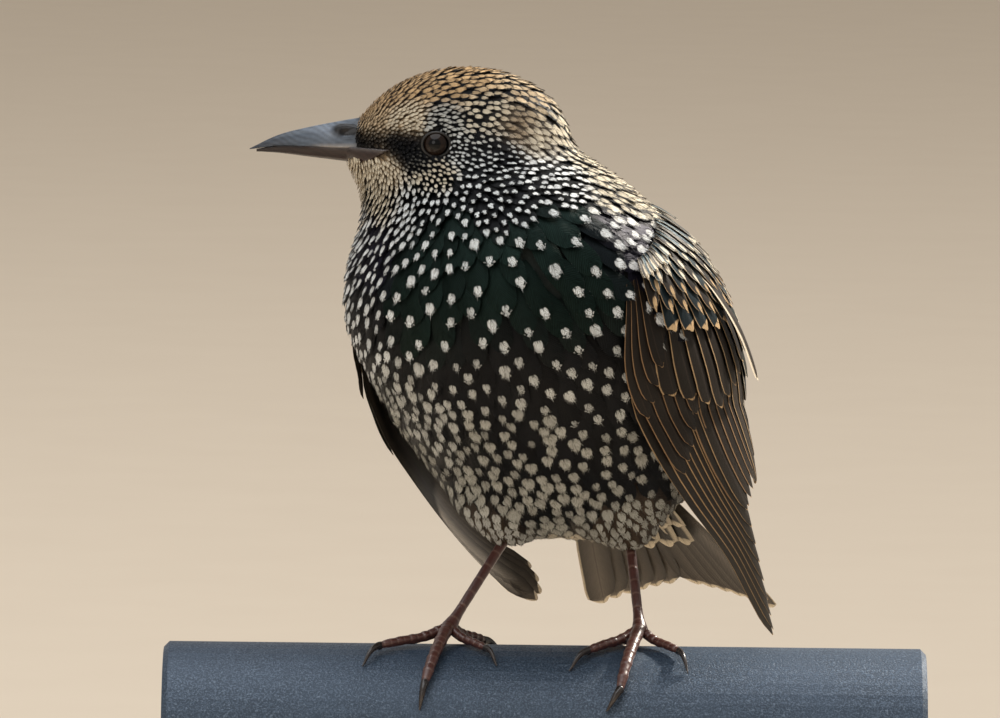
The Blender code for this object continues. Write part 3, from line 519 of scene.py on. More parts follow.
def lie(points, normal):
    """The direction that the coat lies in, along the surface."""
    total = np.zeros_like(points)
    total += TRUNK[0] * (1.02 - step(points[..., 2], 86, 100))[..., None]
    for centre, direction, radius, both in HEAD_LIE:
        for spot in mirrored(centre, both):
            weight = np.exp(-((points - spot) ** 2).sum(-1) / (2 * radius**2))
            total += weight[..., None] * unit(np.array(direction, float))
    return unit(total - normal * (total * normal).sum(-1, keepdims=True))


# Looks of the plumage by named areas of the body

BLACK = (0.0040, 0.0044, 0.0056)
GREEN = (0.0055, 0.0125, 0.0105)
PURPLE = (0.0078, 0.0070, 0.0142)
BROWN = (0.040, 0.027, 0.018)
TAN = (0.21, 0.150, 0.090)
FUZZ = (0.12, 0.092, 0.066)
GOLD = (0.50, 0.335, 0.175)
BUFF = (0.54, 0.415, 0.27)
CREAM = (0.64, 0.57, 0.44)
WHITE = (0.64, 0.67, 0.68)
BRIGHT = (0.76, 0.78, 0.79)
SMOKE = (0.47, 0.48, 0.46)
GREY = (0.37, 0.37, 0.335)

# Name: place, reach, spacing, length, half width, mark length, half width and clearness, ground, mark, both sides
AREAS = {
    "forehead": ((-35, -8, 119), 5, 0.75, 3.0, 0.42, 1.9, 0.36, 1.0, TAN, GOLD, False),
    "front crown": ((-27, -10, 124), 6, 1.10, 4.2, 0.74, 2.1, 0.47, 1.0, BROWN, GOLD, True),
    "crown": ((-15, -10, 128), 8.2, 1.45, 6.0, 1.0, 2.7, 0.66, 1.0, BLACK, GOLD, True),
    "hind crown": ((0, -10, 124), 7, 1.7, 7.0, 1.1, 2.8, 0.70, 1.0, BLACK, BUFF, True),
    "nape": ((10, -8, 110), 8, 1.85, 8.0, 1.15, 3.2, 0.68, 1.0, BLACK, CREAM, True),
    "low nape": ((18, -4, 100), 8, 2.1, 9.0, 1.3, 3.3, 0.88, 1.0, BLACK, CREAM, True),
    "brow": ((-33, -13, 115.3), 3.6, 0.70, 2.6, 0.36, 1.5, 0.30, 1.0, TAN, BUFF, True),
    "hind brow": ((-26, -16, 116.4), 3.3, 0.76, 2.7, 0.38, 1.5, 0.30, 1.0, TAN, CREAM, True),
    "brow over the eye": ((-18, -19.5, 116.2), 3.3, 0.85, 2.8, 0.42, 1.5, 0.32, 1.0, BLACK, SMOKE, True),
    "temple": ((-8, -19, 117), 5, 1.2, 3.6, 0.70, 1.5, 0.46, 1.0, BLACK, CREAM, True),
    "bridle": ((-37, -12, 111.6), 2.6, 0.70, 2.0, 0.40, 0.5, 0.2, 0.0, BLACK, GREY, True),
    "lores": ((-33, -13, 111.6), 3.0, 0.70, 2.0, 0.40, 0.5, 0.2, 0.0, BLACK, GREY, True),
    "before the eye": ((-27, -16.5, 111.0), 3.4, 0.70, 2.0, 0.40, 0.5, 0.2, 0.0, BLACK, GREY, True),
    "behind the eye": ((-16, -20, 111), 3, 0.80, 2.4, 0.42, 1.0, 0.28, 1.0, BLACK, WHITE, True),
    "under the eye": ((-23, -18, 107.8), 3, 0.78, 2.2, 0.40, 0.6, 0.2, 0.1, BLACK, GREY, True),
    "ear coverts": ((-8, -21, 109), 5, 1.15, 3.8, 0.62, 1.1, 0.34, 0.9, BLACK, WHITE, True),
    "downy ear patch": ((-3, -20, 116), 3.5, 1.25, 4.5, 0.70, 2.0, 0.5, 0.5, FUZZ, BUFF, True),
    "hind ear patch": ((4, -18, 112), 4, 1.4, 5.0, 0.80, 2.2, 0.6, 0.8, FUZZ, CREAM, True),
    "malar": ((-30, -14, 105.2), 3.8, 0.72, 2.8, 0.38, 1.8, 0.32, 1.0, TAN, CREAM, True),
    "hind malar": ((-20, -20, 102), 4, 0.95, 3.4, 0.50, 1.4, 0.34, 1.0, BLACK, CREAM, True),
    "chin": ((-38, -9, 104), 4, 0.78, 3.2, 0.40, 2.0, 0.33, 1.0, TAN, CREAM, True),
    "throat": ((-34, -17, 99), 5, 1.1, 4.4, 0.60, 2.3, 0.42, 1.0, BLACK, CREAM, True),
    "low throat": ((-24, -26, 95), 6, 1.45, 5.5, 0.85, 1.8, 0.55, 1.0, BLACK, WHITE, True),
    "neck side": ((-8, -26, 97), 6, 1.75, 6.5, 1.05, 1.35, 0.60, 1.0, BLACK, WHITE, True),
    "hind neck side": ((6, -20, 102), 6, 1.55, 6.0, 1.0, 1.5, 0.66, 1.0, BLACK, BRIGHT, True),
    "breast edge": ((-37, -14, 87), 7, 2.1, 8.5, 1.2, 2.3, 0.60, 1.0, PURPLE, WHITE, False),
    "upper breast": ((-20, -31, 88), 7, 3.0, 10.0, 1.9, 1.9, 0.85, 1.0, GREEN, WHITE, False),
    "breast": ((-14, -32, 76), 10, 4.6, 13.0, 2.9, 2.2, 1.02, 1.0, GREEN, WHITE, False),
    "breast's left": ((10, -30, 80), 10, 4.7, 13.0, 2.9, 2.3, 1.1, 1.0, GREEN, WHITE, False),
    "breast's right edge": ((-37, -8, 70), 8, 2.9, 11.0, 1.9, 2.5, 0.8, 1.0, BLACK, WHITE, False),
    "side of the breast": ((22, -20, 84), 8, 3.2, 11.0, 2.2, 2.5, 1.25, 1.0, PURPLE, BRIGHT, False),
    "lower breast": ((-8, -30, 60), 9, 3.7, 12.0, 2.6, 2.4, 1.12, 1.0, BLACK, SMOKE, False),
    "lower breast's left": ((16, -24, 60), 9, 4.2, 12.0, 2.7, 2.5, 1.15, 1.0, BLACK, SMOKE, False),
    "belly": ((-5, -20, 42), 9, 3.0, 11.0, 2.3, 2.7, 1.38, 1.0, BLACK, GREY, False),
    "belly's left": ((18, -14, 42), 8, 3.5, 11.0, 2.4, 2.7, 1.2, 1.0, BLACK, GREY, False),
    "belly's right": ((-26, -12, 50), 8, 2.8, 10.0, 2.1, 2.7, 1.1, 1.0, BLACK, SMOKE, False),
    "low belly": ((2, 0, 28), 9, 2.8, 10.0, 2.2, 3.2, 1.35, 1.0, BLACK, GREY, False),
    "right thigh": ((-5, 10, 25), 5, 2.0, 8.0, 1.5, 3.0, 0.95, 1.0, BROWN, SMOKE, False),
    "left thigh": ((21, 10, 24), 5, 2.0, 8.0, 1.5, 2.6, 0.85, 1.0, BROWN, GREY, False),
    "vent": ((15, 28, 25), 8, 3.0, 11.0, 2.3, 3.8, 1.7, 1.0, BROWN, CREAM, False),
    "flank": ((36, 12, 50), 9, 3.6, 12.0, 2.8, 3.0, 1.3, 1.0, BLACK, GREY, False),
    "right flank": ((-25, 18, 45), 9, 3.6, 12.0, 2.8, 3.0, 1.3, 1.0, BLACK, GREY, False),
    "shoulder": ((17, -6, 98), 7, 1.7, 8.0, 1.0, 4.5, 0.55, 0.9, FUZZ, CREAM, False),
    "mantle": ((16, 22, 92), 12, 3.6, 13.0, 2.6, 3.0, 1.0, 1.0, GREEN, BUFF, False),
    "back": ((20, 40, 74), 12, 4.4, 15.0, 3.2, 2.8, 1.3, 1.0, GREEN, BUFF, False),
    "rump": ((25, 52, 52), 10, 4.0, 14.0, 3.0, 2.6, 1.4, 1.0, BROWN, BUFF, False),
}


def areas_table():
    """The areas' places, reaches and looks, those of both sides given twice."""
    places, reaches, looks = [], [], []
    for place, reach, *rest, both in AREAS.values():
        for spot in mirrored(place, both):
            places.append(spot)
            reaches.append(reach)
            looks.append(np.concatenate([rest[:6], rest[6], rest[7]]))
    places = settle(np.array(places), lumps=COVER)[0]
    return places, np.array(reaches, float), np.array(looks, float)


AREA_PLACES, AREA_REACHES, AREA_LOOKS = areas_table()


def plumage(points):
    """Spacing, length, half width, mark sizes and clearness, ground and mark colours at points."""
    gap = np.linalg.norm(points[:, None] - AREA_PLACES, axis=-1) / AREA_REACHES
    weight = np.exp(-1.6 * (gap**2 - gap.min(axis=1, keepdims=True) ** 2))
    return (weight / weight.sum(axis=1, keepdims=True)) @ AREA_LOOKS


BODY_LOW, BODY_HIGH = (-48, -46, 18), (50, 74, 134)


def isosurface(level, size, lumps=None):
    """A closed quad mesh of the surface at a level, from a grid of the given size."""
    axes = [np.arange(a, b, size) for a, b in zip(BODY_LOW, BODY_HIGH)]
    grid = np.stack(np.meshgrid(*axes, indexing="ij"), -1)
    inside = surface(grid.reshape(-1, 3), lumps)[0].reshape(grid.shape[:3]) < level
    count = sum(
        inside[i:inside.shape[0] - 1 + i, j:inside.shape[1] - 1 + j, k:inside.shape[2] - 1 + k].astype(int)
        for i in (0, 1) for j in (0, 1) for k in (0, 1)
    )
    mixed = (count > 0) & (count < 8)
    index = np.full(mixed.shape, -1)
    index[mixed] = np.arange(mixed.sum())
    points = np.array(BODY_LOW) + (np.argwhere(mixed) + 0.5) * size
    points, _ = settle(points, level, lumps=lumps)
    quads = []
    for axis in range(3):
        first = inside.take(range(inside.shape[axis] - 1), axis)
        second = inside.take(range(1, inside.shape[axis]), axis)
        edge = np.argwhere(first != second)
        u, v = [k for k in range(3) if k != axis]
        corners = []
        for du, dv in ((1, 1), (0, 1), (0, 0), (1, 0)):
            cell = edge.copy()
            cell[:, u] -= du
            cell[:, v] -= dv
            corners.append(index[tuple(cell.T)])
        quads.append(np.stack(corners, 1))
    quads = np.concatenate(quads)
    a, b, c = points[quads[:, 0]], points[quads[:, 1]], points[quads[:, 2]]
    turned = (np.cross(b - a, c - a) * surface((a + c) / 2, lumps)[1]).sum(-1) < 0
    quads[turned] = quads[turned][:, ::-1]
    return points, quads


def scatter(candidates, spacing):
    """Numbers of the candidates kept so that no two are closer than their spacing."""
    cell = float(spacing.max())
    cells, kept = {}, []
    keys = np.floor(candidates / cell).astype(int)
    near = [(i, j, k) for i in (-1, 0, 1) for j in (-1, 0, 1) for k in (-1, 0, 1)]
    for number, (point, room, key) in enumerate(zip(candidates, spacing, map(tuple, keys))):
        crowd = [x for i, j, k in near for x in cells.get((key[0] + i, key[1] + j, key[2] + k), ())]
        if crowd and (((candidates[crowd] - point) ** 2).sum(1) < (0.5 * (room + spacing[crowd])) ** 2).any():
            continue
        cells.setdefault(key, []).append(number)
        kept.append(number)
    return np.array(kept)


def seeds(count=85000):
    """Where each small feather's tip lies: an even scatter, closer where the feathers are smaller."""
    points, quads = isosurface(0.0, 2.0, COVER)
    corners = points[quads]
    area = np.linalg.norm(np.cross(corners[:, 2] - corners[:, 0], corners[:, 3] - corners[:, 1]), axis=1)
    odds = area / plumage(corners.mean(axis=1))[:, 0] ** 2
    chosen = RANDOM.choice(len(quads), count, p=odds / odds.sum())
    u, v = RANDOM.random((2, count, 1))
    a, b, c, d = (corners[chosen, k] for k in range(4))
    spots = (a * (1 - u) + b * u) * (1 - v) + (d * (1 - u) + c * u) * v
    spots, _ = settle(spots, lumps=COVER)
    return spots[scatter(spots, plumage(spots)[:, 0])]


ROUND = ([0, 0.35, 0.7, 0.9, 1], [0.55, 0.95, 1, 0.84, 0.42])
TWIST = 0.1


def grow(tips, look, rows, columns, lift):
    """Grids of points for small feathers, each followed back from its tip along the lie."""
    count = len(tips)
    length = look[:, 1] * RANDOM.normal(1, 0.06, count)
    half = look[:, 2] * RANDOM.normal(1, 0.06, count)
    along = np.linspace(0, 1, rows) ** 0.62
    path = np.zeros((count, rows, 3))
    path[:, -1], normal = settle(tips, lumps=COVER)
    turn = RANDOM.normal(0, TWIST, count)[:, None]
    for r in range(rows - 2, -1, -1):
        here = path[:, r + 1]
        _, normal = surface(here, COVER)
        heading = lie(here, normal)
        heading = unit(heading + turn * np.cross(normal, heading))
        back = here - heading * (length * (along[r + 1] - along[r]))[:, None]
        path[:, r], _ = settle(back, rounds=2, lumps=COVER)
    _, normal = surface(path, COVER)
    ahead = np.empty_like(path)
    ahead[:, 1:-1] = path[:, 2:] - path[:, :-2]
    ahead[:, 0], ahead[:, -1] = path[:, 1] - path[:, 0], path[:, -1] - path[:, -2]
    side = unit(np.cross(ahead, normal))
    x = np.linspace(-1, 1, columns)
    wide = np.interp(along, *ROUND)
    comb = np.where(np.arange(columns) % 2, 1.0, -0.4) * np.abs(RANDOM.normal(0.03, 0.015, (count, 1, columns)))
    back = 0.13 * x**2 * along[:, None] ** 3 * (half / length * 2.2)[:, None, None] + comb * (along**8)[:, None]
    spots = path[:, :, None] + side[:, :, None] * (half[:, None, None] * wide[None, :, None] * x)[..., None]
    spots = spots - unit(ahead)[:, :, None] * (back * length[:, None, None])[..., None]
    distance, _ = surface(spots, COVER)
    spots = spots - normal[:, :, None] * distance[..., None]
    deep = coat_depth(tips)[:, None, None]
    up = lift * RANDOM.uniform(0.5, 1.3, (count, 1, 1))
    height = -deep + (deep + up) * along[None, :, None]
    dome = (0.16 * half)[:, None, None] * (0.5 - x**2) * (0.35 + 0.65 * np.sin(math.pi * along**0.7))[None, :, None]
    tilt = RANDOM.normal(0, 0.07, (count, 1, 1)) * half[:, None, None] * x * along[None, :, None]
    top = spots + normal[:, :, None] * (height + dome + tilt)[..., None]
    middle = columns // 2
    thick = 0.05 + 0.06 * half[:, None, None] * (1 - 0.6 * along[None, :, None])
    under = top[:, :, middle] - normal * thick
    full = (count, rows, columns)
    data = {
        "across": np.broadcast_to(x, full),
        "along": np.broadcast_to(along[None, :, None], full),
        "chance": RANDOM.random(count),
        "size": np.stack([length, half, np.clip(half * 0.24, 0.16, 0.66)], -1),
        "spot": look[:, 3:6] * RANDOM.normal(1, 0.13, (count, 1)),
        "edge": np.zeros((count, 3)),
        "ground": look[:, 6:9] * RANDOM.normal(1, 0.15, (count, 1)),
        "mark": look[:, 9:12] * RANDOM.normal(1, 0.07, (count, 1)),
    }
    return top, under, data, unwrap(path[:, 0])


# The folded wings, in the body's axes: lower edge, most outward line and upper edge from bend to tip.
WING_LOWER = {
    1: [(19, -15, 87), (24, -16, 64), (29.5, -6, 46), (31.5, 10, 33), (31.5, 38, 17), (28, 70, -3)],
    -1: [(20, 4, 88), (37, -4, 63), (36, -1, 48), (33, 14, 33), (31, 38, 17), (27, 64, 0.5)],
}
WING_OUTER = {
    1: [(23, -8, 92), (32, 8, 76), (36, 22, 58), (35.5, 36, 40), (32.5, 50, 20), (28, 73, -2)],
    -1: [(22, 6, 92), (33, 13, 75), (37, 24, 57), (35, 36, 39), (31.5, 50, 21), (24, 68, 3)],
}
WING_UPPER = {
    1: [(14, 3, 97), (12, 27, 86), (12, 43, 68), (15, 52, 50), (19, 62.5, 28), (24, 77, 5)],
    -1: [(14, 11, 95), (12, 28, 86), (12, 43, 68), (15, 51, 51), (18, 62, 30), (17, 71, 7.5)],
}
WING_WIDEST = 0.3
WING_CLEARANCE = 0.9
WING_LENGTH = 126.0
TO_BIRD = np.array([body_direction(1, 0, 0), body_direction(0, 1, 0), body_direction(0, 0, 1)])


def curve_through(points, amounts):
    """Points on a smooth curve through evenly spaced control points, for amounts from 0 to 1."""
    points = np.asarray(points, float)
    padded = np.vstack([2 * points[0] - points[1], points, 2 * points[-1] - points[-2]])
    place = np.clip(np.asarray(amounts, float), 0, 1) * (len(points) - 1)
    start = np.minimum(place.astype(int), len(points) - 2)
    t = (place - start)[..., None]
    a, b, c, d = (padded[start + k] for k in range(4))
    return 0.5 * (
        2 * b + (c - a) * t + (2 * a - 5 * b + 4 * c - d) * t**2 + (3 * b - a - 3 * c + d) * t**3
    )


def wing_sheet(side, along, across):
    low, out, top = (curve_through(line[side], along) for line in (WING_LOWER, WING_OUTER, WING_UPPER))
    v = np.asarray(across, float)[..., None]
    return low * (1 - v) * (1 - 2 * v) + out * 4 * v * (1 - v) + top * v * (2 * v - 1)


def wing_width(side, along):
    steps = [wing_sheet(side, along, np.full(along.shape, v)) for v in np.linspace(0, 1, 7)]
    return sum(np.linalg.norm(b - a, axis=-1) for a, b in zip(steps, steps[1:]))


def wing_place(side, along, across, height):
    """Points in bird space at a height over the wing's sheet, which stays clear of the body."""
    def there(u, v):
        return wing_sheet(side, u, v) * np.array([side, 1, 1]) @ TO_BIRD + np.array([BODY_X, 0, 0])

    along, across = np.broadcast_arrays(np.asarray(along, float), np.asarray(across, float))
    small = 0.01
    here = there(along, across)
    ahead = there(np.minimum(along + small, 1), across) - there(np.maximum(along - small, 0), across)
    over = there(along, across + small) - there(along, across - small)
    normal = np.cross(ahead, over)
    outward = body_direction(side, 0.25, 0.25)
    normal = unit(normal * np.sign((normal * outward).sum(-1, keepdims=True)))
    for _ in range(4):
        distance, out = surface(here)
        here = here + out * np.clip(WING_CLEARANCE - distance, 0, None)[..., None]
    return here + normal * np.asarray(height)[..., None]


def tail_place(along, across, height):
    """Points: along from the tail's root to its tip, across from -1 to 1, height over the tail."""
    along, across = np.broadcast_arrays(np.asarray(along, float), np.asarray(across, float))
    root, tip = body_point(*TAIL_ROOT), body_point(*TAIL_TIP)
    left = body_direction(1, 0, 0)
    over = np.cross(left, unit(tip - root))
    over *= np.sign(over[2])
    half = TAIL_HALF_ROOT + (TAIL_HALF_TIP - TAIL_HALF_ROOT) * along
    notch = 1.0 + TAIL_NOTCH * np.abs(across) ** 1.5 * along
    place = root + (tip - root) * (along * notch)[..., None] + left * (across * half)[..., None]
    drop = TAIL_ARCH * across**2 - TAIL_ROLL * across * along
    return place + over * (np.asarray(height) - drop)[..., None]


# Outlines of feathers: amounts along one, and the share of its half width there
LONG = ([0, 0.15, 0.4, 0.65, 0.85, 0.95, 1], [0.35, 0.75, 0.95, 1, 0.92, 0.7, 0.3])
BROAD = ([0, 0.2, 0.5, 0.8, 0.93, 1], [0.5, 0.8, 0.98, 1, 0.85, 0.42])
POINTED = ([0, 0.2, 0.5, 0.75, 0.9, 1], [0.5, 0.8, 1, 0.85, 0.5, 0.12])
FAN = ([0, 0.3, 0.6, 0.9, 0.97, 1], [0.5, 0.75, 0.95, 1, 0.85, 0.55])


def large_vanes(grid, rows_of, rows, columns, length_scale):
    """Grids of points for the large feathers of a wing or the tail.

    Each entry: root, tip, half width, rise, tilt, bow, outline, mark, edge, ground, mark colour and
    the ground of its underside. grid turns amounts along, millimetres across and heights into points.
    """
    count = len(rows_of)
    t = np.linspace(0, 1, rows) ** 0.8
    x = np.linspace(-1, 1, columns)
    shape = (count, rows, columns)
    along, across, height = np.zeros(shape), np.zeros(shape), np.zeros(shape)
    data = {key: np.zeros((count, 3)) for key in ("size", "spot", "edge", "ground", "mark", "below")}
    for i, (root, tip, half, rise, tilt, bow, outline, mark, edge, ground, colour, below) in enumerate(rows_of):
        half = half * RANDOM.normal(1, 0.03)
        wide = np.interp(t, *outline)
        length = abs(tip[0] - root[0]) * length_scale
        round_off = 0.55 * half / length_scale * x**2 * (t[:, None] ** 14)
        along[i] = root[0] + (tip[0] - root[0]) * t[:, None] - round_off
        across[i] = (root[1] + (tip[1] - root[1]) * t + bow * np.sin(math.pi * t))[:, None]
        across[i] += half * wide[:, None] * x
        dome = 0.1 * half * (0.5 - x**2)
        ridge = 0.1 * np.exp(-((x / 0.12) ** 2)) * min(1.0, half / 3.5)
        height[i] = (rise[0] + (rise[1] - rise[0]) * t**0.8)[:, None] - tilt * wide[:, None] * x
        height[i] += (dome + ridge) * wide[:, None] * (0.4 + 0.6 * t[:, None])
        data["size"][i] = length, half, 0.5
        data["spot"][i], data["edge"][i] = mark, edge
        data["ground"][i] = np.array(ground) * RANDOM.normal(1, 0.1)
        data["mark"][i] = np.array(colour) * RANDOM.normal(1, 0.05)
        data["below"][i] = below
    top = grid(along, across, height)
    middle = columns // 2
    thick = 0.22 - 0.1 * t
    under = grid(along[:, :, middle], across[:, :, middle], height[:, :, middle] - thick)
    data["across"] = np.broadcast_to(x, shape)
    data["along"] = np.broadcast_to(t[None, :, None], shape)
    data["chance"] = RANDOM.random(count)
    return top, under, data


DUSK = (0.0115, 0.0085, 0.0066)
UMBER = (0.020, 0.0145, 0.0105)
TEAL = (0.010, 0.0185, 0.0235)
RUST = (0.31, 0.195, 0.105)
SAND = (0.45, 0.31, 0.17)
PALE = (0.68, 0.60, 0.47)
ASH = (0.105, 0.088, 0.070)
NO_MARK = (1.0, 1.0, 0.0)
PRIMARIES = {
    1: [(0, 3.6, 3.4), (1, 4.8, 2.6), (5, 6.1, 2.6), (10, 7.3, 2.6), (16, 8.6, 2.6), (22, 9.8, 2.6),
        (28, 11.1, 2.6), (34, 12.3, 2.6), (40, 13.6, 2.6)],
    -1: [(0, 4.6, 4.9), (1, 6.8, 4.8), (4, 9.2, 4.2), (8, 11.6, 3.3), (14, 12.6, 3.0), (20, 13.2, 2.8),
         (27, 13.8, 2.6), (33, 14.2, 2.6), (39, 14.6, 2.6)],
}


def wing_feathers(side):
    """Each large feather of a wing by tier: places are an amount along and millimetres from the lower edge."""
    left = side > 0
    longs = [(
        (0.22, 3.0 + 1.9 * i), (1 - shorter / WING_LENGTH, near), half, (0.6, 0.9 + 0.14 * i), 0.25, -0.6,
        LONG if left else BROAD, NO_MARK, (0.3, 0.0, 0.4), DUSK, SAND if left else PALE, ASH,
    ) for i, (shorter, near, half) in enumerate(PRIMARIES[side])]
    longs += [(                                        # secondaries
        (0.28, 15 + 3.2 * i), (0.69 - 0.012 * i, 12.5 + 2.7 * i), 2.8, (0.9, 1.75 + 0.07 * i),
        0.3, -1.0, LONG, NO_MARK, (0.45, 0.0, 0.5), DUSK, RUST, ASH,
    ) for i in range(7)]
    longs += [(                                        # tertials, and one that stands off
        (0.24, 34 + 4.8 * i), (0.69 - 0.05 * i, 29 + 5.2 * i), 4.3, (1.1, 2.3 + 0.22 * i),
        0.35, -0.5, BROAD, NO_MARK, (0.42, 0.2, 0.5), UMBER, SAND, ASH,
    ) for i in range(4)]
    longs.append((
        (0.15, 33), (0.41, 33), 2.7, (3.0, 6.4 if left else 4.0), 0.5, 0.0, BROAD, NO_MARK,
        (1.1, 0.0, 1.4), UMBER, PALE, PALE,
    ))
    shorts = [(                                        # primary coverts
        (0.14, 4.2 + 2.4 * i), (0.51 - 0.033 * i, 3.3 + 2.4 * i), 1.9, (0.8, 1.6 + 0.1 * i),
        0.25, 0.0, LONG, NO_MARK, (0.24, 0.0, 0.3), DUSK, RUST, ASH,
    ) for i in range(6)]
    shorts += [(                                       # greater coverts
        (0.13, 11.5 + 3.9 * i), (0.30 + 0.034 * i if i < 4 else 0.426 - 0.008 * i, 8.5 + 3.9 * i), 2.7,
        (1.2, 2.7 + 0.05 * i), 0.4, -0.4, BROAD, NO_MARK, (0.34, 0.0, 0.75), DUSK, SAND, ASH,
    ) for i in range(9)]
    shorts += [(                                       # alula
        (0.06, 3.2 + 1.5 * i), (0.33 - 0.035 * i, 2.2 + 1.9 * i), 1.8, (1.0, 2.2 + 0.25 * i),
        0.25, 0.0, LONG, NO_MARK, (0.22, 0.0, 0.3), DUSK, RUST, ASH,
    ) for i in range(4)]
    shorts += [(                                       # median coverts
        (0.05, 16 + 4.6 * i), (0.175 + 0.0235 * i if i < 4 else 0.2125 + 0.011 * i, 13 + 4.6 * i), 2.9,
        (1.6, 3.5), 0.4, -0.3, BROAD, (2.0, 2.5, 1.0), (0.26, 0.08, 0.9), TEAL, SAND, ASH,
    ) for i in range(8)]
    # lesser coverts and scapulars
    for row in range(5):
        for i in range(9):
            near = 9.0 + 4.5 * (i + 0.5 * (row % 2))
            reach = 0.145 - 0.033 * row + 0.0045 * (near - 13) + RANDOM.normal(0, 0.006)
            reach = max(reach, 0.07)
            shorts.append((
                (max(reach - 0.13, 0.035), near + 2.0), (reach, near), 2.6 - 0.15 * row,
                (1.8, 4.0 + 0.12 * row), 0.35, 0.0, POINTED, (3.2, 1.1 - 0.06 * row, 1.0),
                (0.16, 0.16, 0.3), TEAL if (i + row) % 2 else DUSK, SAND if row < 2 else PALE, ASH,
            ))
    for column in range(3):
        for i in range(8):
            reach = 0.14 + 0.06 * (i + 0.5 * (column % 2))
            near = 44 + 6.0 * column - 0.5 * i
            shorts.append((
                (max(reach - 0.17, 0.05), near - 1.0), (reach, near), 3.3 + 0.2 * i, (1.6, 4.0 - 0.18 * i),
                0.35, 0.0, BROAD, (3.0, 0.9, 0.8), (0.28, 0.28, 0.5), GREEN if i % 2 else TEAL, PALE, ASH,
            ))
    return longs, shorts


def wing_grid(side):
    def grid(along, distance, height):
        width = wing_width(side, np.maximum(along, WING_WIDEST))
        return wing_place(side, np.clip(along, 0, 1), np.clip(distance / width, 0.0, 1.06), height)
    return grid


def slab(name, inner, outer):
    """A closed plate between two grids of points."""
    low = np.arange(inner[..., 0].size).reshape(inner.shape[:2])
    rim = np.concatenate([low[:, 0], low[-1, 1:], low[-2::-1, -1], low[0, -2:0:-1]])
    after = np.roll(rim, -1)
    sides = np.stack([rim, rim + low.size, after + low.size, after], -1)
    quads = np.concatenate([grid_quads(low.T), grid_quads(low + low.size), sides])
    points = np.concatenate([inner.reshape(-1, 3), outer.reshape(-1, 3)])
    return mesh_object(name, points, quads, [], MATERIALS["under"], {}, unwrap(points))


def add_wing(side):
    word = "left" if side > 0 else "right"
    grid = wing_grid(side)
    pieces = []
    longs, shorts = wing_feathers(side)
    for name, rows_of, rows, columns in (("flight", longs, 26, 9), ("coverts", shorts, 13, 9)):
        top, under, data = large_vanes(grid, rows_of, rows, columns, WING_LENGTH)
        pieces.append(add_vanes(
            f"wing_{word}_{name}", top, under, data, MATERIALS["wing"], spread(top),
        ))
    reach, low = (0.6, 0.04) if side > 0 else (0.34, 0.2)
    along, across = np.meshgrid(np.linspace(0.03, reach, 32), np.linspace(low, 0.96, 14), indexing="ij")
    round_edge = np.sin(math.pi * np.clip(across, 0.02, 0.98)) ** 0.5
    plump = 0.3 + round_edge * step(along, 0.0, 0.16) * (0.4 + 1.6 * np.clip(1 - 2 * along, 0, 1))
    inner, outer = wing_place(side, along, across, np.zeros_like(along)), wing_place(side, along, across, plump)
    pieces.append(slab(f"wing_{word}_core", inner, outer))
    dress(pieces, "wing_feathers", "wing_" + word)


def spread(top):
    """Where each large feather lies on the wing's own unwrap."""
    count = len(top)
    roots = top[:, 0, top.shape[2] // 2]
    local = (roots - body_point(0, 0, 0)) @ TO_BIRD.T
    back, up = local[:, 1], local[:, 2]
    return np.stack([0.1 + 0.8 * (back + 20) / 120, 0.1 + 0.8 * up / 110], -1) + np.arange(count)[:, None] * 1e-4


def add_tail():
    def grid(along, distance, height):
        half = TAIL_HALF_ROOT + (TAIL_HALF_TIP - TAIL_HALF_ROOT) * along
        return tail_place(along, distance / half, height)

    longs, shorts = [], []
    for side in (1, -1):
        for i in range(6):
            k = (5 - i) / 5
            longs.append((
                (0.02, side * 5.5 * k), (1.0, side * (3.4 + 16.6 * k)), 3.9, (1.0 - 0.9 * k, 1.3 - 1.3 * k),
                -0.12 * side, side * 0.6 * k, FAN, NO_MARK,
                (0.5 if k == 1 and side < 0 else 0.0, 0.5 if k == 1 and side > 0 else 0.0, 1.1), UMBER, PALE, ASH,
            ))
    for row in range(3):
        for i in range(7):
            place = 2 * i / 6 - 1
            shorts.append((
                (-0.12, 5 * place), (0.5 - 0.15 * row - 0.1 * abs(place), (10 - 2 * row) * place), 3.1,
                (2.0, 2.6 + 0.5 * row), -0.2 * place, 0.0, BROAD, NO_MARK, (0.4, 0.4, 0.8), DUSK, SAND, ASH,
            ))
    for row in range(4):
        for i in range(5):
            place = (2 * (i + 0.5 * (row % 2)) / 5 - 0.9)
            shorts.append((
                (-0.12, 5 * place), (0.68 - 0.14 * row - 0.1 * abs(place), (12 - 1.5 * row) * place), 4.2,
                (-1.4, -1.6 - 0.7 * row), 0.2 * place, 0.0, BROAD, NO_MARK, (1.7, 1.7, 2.6), DUSK, CREAM, DUSK,
            ))
    pieces = []
    for name, rows_of, rows in (("quills", longs, 22), ("coverts", shorts, 12)):
        top, under, data = large_vanes(grid, rows_of, rows, 9, 58.0)
        pieces.append(add_vanes("tail_" + name, top, under, data, MATERIALS["wing"], spread(top)))
    dress(pieces, "wing_feathers", "tail")


# Bill, eyes, legs and feet

